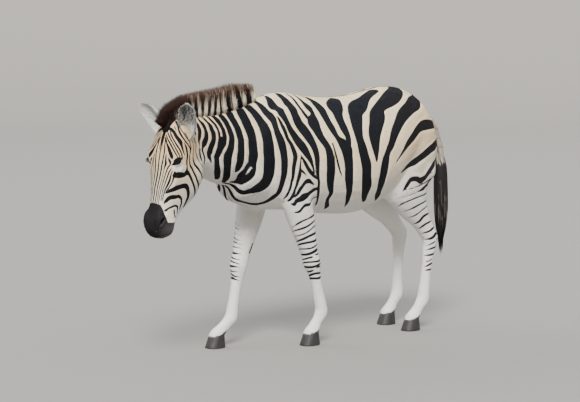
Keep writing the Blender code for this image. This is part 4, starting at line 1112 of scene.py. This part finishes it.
def mane_hair():
    """Upright hairs rooted along the crest, leaning forward at its front end."""
    crest = NECK_CREST
    count = 8800
    step = np.concatenate([[0], np.cumsum(np.linalg.norm(np.diff(crest, axis=0), axis=1))])
    share = ((np.arange(count) + rng.random(count)) / count) ** 1.15
    at = share * step[-1]
    y, z = np.interp(at, step, crest[:, 0]), np.interp(at, step, crest[:, 1])
    slope = np.gradient(crest, axis=0)
    dy, dz = np.interp(at, step, slope[:, 0]), np.interp(at, step, slope[:, 1])
    size = np.hypot(dy, dz)
    up = np.stack([0 * dy, -dz / size, dy / size], 1)
    out = rng.uniform(-1, 1, count)
    fit = np.interp(share, [0, 0.1, 1], [0.7, 1.0, 1.0])
    root = np.stack([out * MANE_HALF * fit * 0.85, y, z], 1) - up * 0.016
    front = ramp(-y, 0.98, 1.12)
    forward = -0.05 - 0.22 * front
    lean = [out * 0.12 + rng.normal(0, 0.08, count) * front, rng.normal(forward, 0.042 + 0.07 * front, count)]
    aim = unit(up + np.stack([*lean, 0 * out], 1))
    rise = MANE_HEIGHT * np.interp(share, *np.array(MANE_RISE).T)
    long = (rise * (1 - 0.10 * out * out) * rng.uniform(0.88, 1.10, count) + 0.016)[:, None]
    ends = np.array((0.0, 0.45, 0.80, 1.0))
    bend = np.stack([rng.normal(0, 0.004, count), rng.normal(0, 0.006, count), 0 * out], 1)
    paths = root[:, None] + aim[:, None] * long[:, None] * ends[None, :, None]
    paths = paths + bend[:, None] * (ends ** 2)[None, :, None]
    colours = np.stack([mane_colours(y + rng.normal(0, 0.0010, count), ends[k] + rng.normal(0, 0.05, count))
                        for k in range(4)], 1)
    colours = colours * rng.normal(1, 0.12, count)[:, None, None]
    paths = turned_with_neck(paths.reshape(-1, 3)).reshape(paths.shape)
    unwrap = spread_out(np.stack([y, out], 1))
    made = strands("mane_hair", paths, 0.0031, colours, unwrap)


def mane_core():
    """The body among the mane's hairs, in the mane's colours darkened as painted shade. Gives its points and
    corners.
    """
    core, spots, links, faces = merged_copy("mane_core", ["mane"], cell=0.005, grow=-0.004)
    spots = eased(spots, links, np.ones(len(spots)), 6)
    straight = straightened(spots)
    height = height_in_mane(straight)
    lowered = 0.034 * ramp(height, 0.15, 1.0) + 0.020 * ramp(-straight[:, 1], 1.03, 1.10)
    spots = spots - np.array((0, 0, 1.0)) * lowered[:, None]
    spots = spots + np.array((0, 1.0, 0)) * (0.030 * ramp(-straight[:, 1], 1.03, 1.12))[:, None]
    put_points(core.data, spots)
    # Painted shade: the core takes 0.7 of the mane's colours, darker deep among the hairs.
    bare_looks(core, mane_colours(straight[:, 1], height + 0.1) * 0.7)
    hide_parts("mane")
    return spots, faces


def mane_under_hair(spots, faces):
    """Short tufts that break up the core's surface."""
    count = 3600
    places, normals = roots_on(spots, faces, np.ones(len(faces)), count)
    flow = laid_down(np.array((0, -0.15, 1.0)) + rng.normal(0, 0.22, (count, 3)), normals)
    straight = straightened(places)
    height = height_in_mane(straight)
    colours = mane_colours(straight[:, 1], height + 0.1) * rng.normal(1, 0.15, count)[:, None]
    length = rng.uniform(0.018, 0.030, count)
    lift = rng.uniform(0.002, 0.009, count)
    made = tuft_mesh("mane_under_hair", places, normals, flow, length, 0.0030, lift, colours,
                     spread_out(straight[:, 1:]))


mane_hair()
mane_under_hair(*mane_core())

# Outline of the tail's long hair, downwards: y, z, reach to the front and to the back, half width.
TAIL_HAIR = ((0.790, 1.050, 0.020, 0.028, 0.022), (0.806, 1.000, 0.020, 0.030, 0.022),
             (0.822, 0.950, 0.018, 0.032, 0.022), (0.826, 0.880, 0.034, 0.046, 0.036),
             (0.826, 0.760, 0.046, 0.050, 0.044), (0.822, 0.620, 0.044, 0.046, 0.042),
             (0.816, 0.520, 0.030, 0.032, 0.030), (0.812, 0.430, 0.008, 0.008, 0.008))
TAIL_SWING, TAIL_TOP = 0.06, 1.155
TAIL_BLACK = np.array((0.014, 0.012, 0.013))


def tail_place(z, turn, reach):
    """A place in the tail's hair at height z, `turn` round it and `reach` of the way to its outside."""
    rows = np.array(TAIL_HAIR)[::-1]
    y, front, back, half = (np.interp(z, rows[:, 1], rows[:, k]) for k in (0, 2, 3, 4))
    x = TAIL_SWING * np.maximum(0, TAIL_TOP - z) + reach * half * np.cos(turn)
    y = y + reach * np.where(np.sin(turn) > 0, back, front) * np.sin(turn)
    return np.stack([x, y, z], -1)


def tail_hair():
    """Long hairs down the tail, pale at some of the outer roots."""
    count = 3900
    top = rng.uniform(0.70, 1.045, count)
    low = np.minimum(rng.uniform(0.425, 0.62, count), top - rng.uniform(0.20, 0.34, count))
    turn = rng.random(count) * 2 * math.pi
    reach = np.sqrt(rng.uniform(0.15, 1.0, count)) * 0.94
    paths = []
    for share in np.linspace(0, 1, 5):
        z = top + (low - top) * share
        wave = 0.10 * np.sin(5 * share + 7 * turn)
        inner = reach * np.interp(share, [0, 0.15, 1], [0.35, 0.8, 1.0])
        paths.append(tail_place(z, turn + wave, inner))
    paths = np.stack(paths, 1) + MOVED
    pale = (reach > 0.70) & (rng.random(count) < 0.55) & (top > 0.86)
    fade = np.linspace(1, 0, 5)[None] ** 0.7
    colour = TAIL_BLACK + pale[:, None, None] * fade[..., None] * (np.array((0.50, 0.45, 0.38)) - TAIL_BLACK)
    colour = colour * rng.normal(1, 0.15, count)[:, None, None]
    unwrap = spread_out(np.stack([turn, top], 1))
    made = strands("tail_hair", paths, 0.0040, colour, unwrap)


def tail_core():
    """The body among the tail's hairs, in the tail's black darkened further as painted shade."""
    core, spots, links, _ = merged_copy("tail_core", ["tail_tuft"], cell=0.005, grow=-0.006)
    put_points(core.data, eased(spots, links, np.ones(len(spots)), 5))
    # Painted shade: the core takes 0.7 of the tail's black, darker deep among the hairs.
    bare_looks(core, np.tile(TAIL_BLACK * 0.7, (len(spots), 1)))
    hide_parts("tail_tuft")


tail_hair()
tail_core()

# ------------------------------------------------------------ ears

EAR_LENGTH = 0.212
EAR_PLACE = (0.058, 0.082, 0.075)
EAR_OPEN = {1: (0.60, -0.80, -0.22), -1: (0.20, -1.00, -0.15)}
EAR_HAIR = ((0.013, 0.0065), (0.0012, 0.0016), (0.0030, 0.0008))  # length, width, lift: inside, outside


def ear(side):
    """An ear: a thin cup of skin, dark bands and rims outside, and long pale hair inside."""
    name = "ear_left" if side > 0 else "ear_right"
    axis = unit(np.array((0.60 * side, -0.60, 1.0)))
    opening = np.array(EAR_OPEN[side])
    opening = unit(opening - axis * (axis @ opening))
    across = np.cross(axis, opening)
    root = on_head(*EAR_PLACE[:2], EAR_PLACE[2] * side)[0]
    shell, spots, links, faces = merged_copy("shell_" + name, [name], cell=0.0022)
    spots = eased(spots, links, 0.7 * np.ones(len(spots)), 9)
    share = ramp((spots - root) @ axis / EAR_LENGTH, 0.55, 0.85)
    spots = spots + across * (((spots - root) @ across) * 0.32 * share)[:, None]
    put_points(shell.data, spots)

    def looks(places, normals):
        along = (places - root) @ axis / EAR_LENGTH
        over = (places - root) @ across * side
        facing = normals @ opening
        inner = ramp(facing, -0.1, 0.3)
        near = side > 0
        waved = along + 0.03 * np.sin(60 * over)
        bands = np.maximum(band(waved, 0.66, 0.70, 0.90, 0.94), band(waved, 0.26, 0.30, 0.38, 0.42) * 0.8)
        outer = mixed(WHITE, BLACK, bands)
        streak = ramp(np.sin(2 * math.pi * (5.2 * along - 48 * over) + 1.5 * np.sin(21 * along)), 0.30, 0.60)
        streak = streak * ramp(along, 0.24, 0.32) * (1 - ramp(along, 0.78, 0.90))
        fur = np.array((0.42, 0.42, 0.40) if near else (0.74, 0.75, 0.76))
        inside = mixed(fur, BLACK, (0.85 if near else 0.25) * streak)
        spot = 1 - ramp(np.hypot((along - 0.64) / 0.21, (over + 0.016) / 0.016), 0.55, 1.1)
        inside = mixed(inside, np.array((0.035, 0.045, 0.07)), 0.9 * spot * near)
        inside = mixed(inside, WHITE, 1 - ramp(along, 0.16, 0.26))
        dark_edge = (over <= 0) & (along > 0.35) & (along < 0.93)
        rim = ramp(np.abs(facing), 0.0, np.where(dark_edge, 0.55, 0.25))
        colour = mixed(outer, inside, inner)
        return mixed(np.where(dark_edge[:, None], BLACK, WHITE), colour, rim), inner, along

    bare_looks(shell, looks(spots, point_normals(spots, faces))[0])
    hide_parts(name)

    count = 9000
    places, normals = roots_on(spots, faces, np.ones(len(faces)), count)
    colour, inner, along = looks(places, normals)
    flow = axis + 0.25 * rng.normal(0, 1, (count, 3))
    toward = -np.sign((places - root) @ across)[:, None] * across
    flow = laid_down(flow + inner[:, None] * (0.9 * opening + 0.5 * toward), normals)
    length, width, lift = (np.where(inner > 0.5, *pair) for pair in EAR_HAIR)
    length = length * rng.uniform(0.7, 1.25, count) * (1.15 - 0.6 * along.clip(0, 1))
    tint = rng.normal(1, 0.16, count)[:, None]
    pale = (inner > 0.9) & (rng.random(count) < (0.30 if side > 0 else 0.65))
    colour = np.where(pale[:, None], WHITE, colour) * tint
    turn = np.arctan2((places - root) @ across, (places - root) @ opening)
    unwrap = spread_out(np.stack([along, turn], 1))
    made = tuft_mesh("hair_" + name, places, normals, flow, length, width, lift, colour, unwrap)


for side in SIDES:
    ear(side)

# ------------------------------------------------------------ hooves


def horn_material():
    made, tree, shader = material("hoof_horn", 0.55)
    grain = noise_node(tree, 60, 5, (1, 1, 0.08))
    colour = mix_node(tree, grain, (0.010, 0.010, 0.011, 1), (0.038, 0.036, 0.035, 1))
    tree.links.new(colour, shader.inputs["Base Color"])
    rings = noise_node(tree, 60, 3, (0.15, 0.15, 1.4))
    bumped(tree, shader, rings, 0.3, 0.001)
    return made


HORN = horn_material()
for name in ("hoof_fore_left", "hoof_fore_right", "hoof_hind_left", "hoof_hind_right"):
    hoof, spots, links, faces = merged_copy("horn_" + name, [name], cell=0.0032)
    grounded = spots[:, 2] < 0.004
    spots = eased(spots, links, np.where(grounded, 0.05, 0.8), 10)
    normals = point_normals(spots, faces)
    ridge = 0.00014 * np.sin(spots[:, 2] / 0.0012 + 3 * np.sin(spots[:, 0] * 40))
    spots = spots + normals * (ridge * ramp(spots[:, 2], 0.004, 0.012))[:, None]
    spots[:, 2] = np.where(spots[:, 2] < 0.0018, 0.0, spots[:, 2])
    put_points(hoof.data, spots)
    smooth_faces(hoof.data)
    hoof.data.materials.clear()
    hoof.data.materials.append(HORN)
    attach(hoof, "root")
    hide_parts(name)

# ------------------------------------------------------------ eyes


def eye_material():
    made, tree, shader = material("zebra_eye", 0.12)
    colour = attribute_node(tree, "eye_colour").outputs["Color"]
    tree.links.new(colour, shader.inputs["Base Color"])
    shader.inputs["Coat Weight"].default_value = 0.55
    shader.inputs["Specular IOR Level"].default_value = 0.3
    shader.inputs["Coat Roughness"].default_value = 0.03
    shader.inputs["IOR"].default_value = 1.38
    return made


def eyeball(side):
    """A ball with a slightly proud cornea, a dark brown iris and a wide level pupil."""
    ball = bmesh.new()
    bmesh.ops.create_uvsphere(ball, u_segments=96, v_segments=64, radius=1.0)
    data = bpy.data.meshes.new("eyeball")
    ball.to_mesh(data)
    ball.free()
    spots, _, _ = mesh_arrays(data)
    outward, across, up = eye_axes(side)
    tilt = np.hypot(spots[:, 0], spots[:, 1])
    front = spots[:, 2] > 0
    bulge = np.where(front, 0.05 * ramp(0.62 - tilt, 0, 0.5), 0)
    spots = spots * (1 + bulge)[:, None] * EYE_RADIUS * 0.985
    placed = spots[:, :1] * across + spots[:, 1:2] * up + spots[:, 2:] * outward + eye_centres[side]
    put_points(data, placed)
    x, y = spots[:, 0] / EYE_RADIUS, spots[:, 1] / EYE_RADIUS
    level = unit(np.array((across[2], up[2])))  # the pupil lies level whatever the lids' tilt
    flat, tall = x * level[1] - y * level[0], x * level[0] + y * level[1]
    pupil = 1 - ramp(np.hypot(flat / 0.34, tall / 0.17), 0.9, 1.1)
    iris = 1 - ramp(np.hypot(x, y), 0.66, 0.72)
    streaks = 0.85 + 0.15 * np.sin(40 * np.arctan2(y, x))
    colour = mixed(np.array((0.020, 0.014, 0.012)), np.array((0.014, 0.007, 0.004)), iris) * streaks[:, None]
    colour = colour * (1 - pupil)[:, None] + 0.001
    put_attribute(data, "eye_colour", "FLOAT_COLOR", np.where(front[:, None], colour, 0.05))
    smooth_faces(data)
    data.materials.append(EYE_MATERIAL)
    name = "left" if side > 0 else "right"
    eye = new_object("eyeball_" + name, data)
    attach(eye, "root")
    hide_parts("eye_" + name)


EYE_MATERIAL = eye_material()
for side in SIDES:
    eyeball(side)

# ------------------------------------------------------------ lashes and whiskers


HAIR_LEVELS = (0, 0.35, 0.7, 1.0)  # shares of the length at which a lash or whisker bends


def lashes(side):
    """A row of dark lashes along the upper lid."""
    count = 150
    outward, across, up = eye_axes(side)
    at = np.linspace(-0.92, 0.92, count) * EYE_HALF + rng.normal(0, 0.0003, count)
    high, _ = lid_heights(at)
    high = high + 0.0006
    out = np.sqrt(np.maximum((EYE_RADIUS + LID_THICK) ** 2 - at ** 2 - high ** 2, 0))
    root = eye_centres[side] + outward * (out - 0.001)[:, None] + across * at[:, None] + up * high[:, None]
    long = rng.uniform(0.013, 0.022, count) * (1 - 0.3 * (at / EYE_HALF) ** 2)
    paths = []
    for share in HAIR_LEVELS:
        reach = long * share
        drop = -0.75 * share * share * long
        sideways = at * 0.35 * share + rng.normal(0, 0.0005, count) * share
        paths.append(root + outward * reach[:, None] + up * drop[:, None] + across * sideways[:, None])
    colours = np.tile(np.array((0.006, 0.005, 0.005)), (count, 4, 1))
    made = strands("lashes_left" if side > 0 else "lashes_right", np.stack(paths, 1), 0.0007, colours,
                   spread_out(np.stack([at, long], 1)))


def whiskers():
    """Short stiff hairs on the lips and chin."""
    middles = skin_points[skin_corners].mean(1)
    down, _, _, angle = head_places(middles)
    lips = (down > 0.50) & (down < 0.575) & (np.abs(angle) > 35) & (head_share(middles) > 0.9)
    places, normals = roots_on(skin_points, skin_corners, lips * 1.0, 80)
    long = rng.uniform(0.008, 0.022, len(places))[:, None]
    aim = unit(normals * 0.8 + HEAD_DOWN * 0.5 + rng.normal(0, 0.15, places.shape))
    fall = np.array((0, 0, -1.0))
    paths = [places - normals * 0.001 + aim * long * t + fall * 0.25 * t * t * long for t in HAIR_LEVELS]
    tone = np.where(rng.random(len(places)) < 0.7, 0.02, 0.16)
    colours = np.tile(tone[:, None, None], (1, 4, 3))
    made = strands("whiskers", np.stack(paths, 1), 0.0005, colours, spread_out(places[:, 1:]))


for side in SIDES:
    lashes(side)
whiskers()

# ------------------------------------------------------------ floor and light


def stage():
    """A studio floor that turns up into a wall far behind, and soft light from above."""
    around = 96
    profile = [(6.0, 0.0), (13.0, 0.0)]
    profile += [(18 + 9 * math.sin(t), 9 - 9 * math.cos(t)) for t in np.linspace(0, math.pi / 2, 12)]
    profile.append((27.0, 14.0))
    turns = [2 * math.pi * k / around for k in range(around)]
    spots = [(r * math.cos(t), r * math.sin(t), z) for r, z in profile for t in turns]
    faces = [tuple(range(around))]
    for a in range(0, (len(profile) - 1) * around, around):
        b = a + around
        faces += [(a + k, b + k, b + (k + 1) % around, a + (k + 1) % around) for k in range(around)]
    data = bpy.data.meshes.new("floor")
    data.from_pydata(spots, [], faces)
    smooth_faces(data)
    floor = new_object("floor", data)
    made, _, shader = material("studio_floor", 0.9)
    shader.inputs["Base Color"].default_value = (0.25, 0.24, 0.225, 1)
    floor.data.materials.append(made)
    world = bpy.data.worlds.new("studio")
    world.use_nodes = True
    sky = world.node_tree.nodes["Background"]
    sky.inputs["Color"].default_value = (0.94, 0.96, 1.0, 1)
    sky.inputs["Strength"].default_value = 1.6
    bpy.context.scene.world = world
    lamps = (("key", 4.9, 20, (46, 0, 48)), ("fill", 1.2, 40, (58, 0, -70)), ("low", 1.3, 60, (78, 0, 30)))
    for name, energy, angle, turn in lamps:
        lamp = bpy.data.lights.new(name, "SUN")
        lamp.energy, lamp.angle = energy, math.radians(angle)
        lamp.color = (1.0, 0.965, 0.91)
        holder = new_object(name, lamp)
        holder.rotation_euler = [math.radians(v) for v in turn]


stage()

# ------------------------------------------------------------ camera

CAMERA_AZIMUTH, CAMERA_RISE, CAMERA_DISTANCE = math.radians(50), math.radians(5.5), 10.0
look_at = Vector((-0.111, -0.133, 0.718)) + Vector(MOVED)
level = math.cos(CAMERA_RISE)
back = Vector((math.sin(CAMERA_AZIMUTH) * level, -math.cos(CAMERA_AZIMUTH) * level, math.sin(CAMERA_RISE)))
camera = new_object("camera", bpy.data.cameras.new("camera"))
camera.location = look_at + back * CAMERA_DISTANCE
camera.rotation_mode = "QUATERNION"
camera.rotation_quaternion = (-back).to_track_quat("-Z", "Y")
camera.data.lens, camera.data.sensor_width = 119.4, 36
bpy.context.scene.camera = camera

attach(skin, "root")
for name in FLESH:
    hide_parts(name)
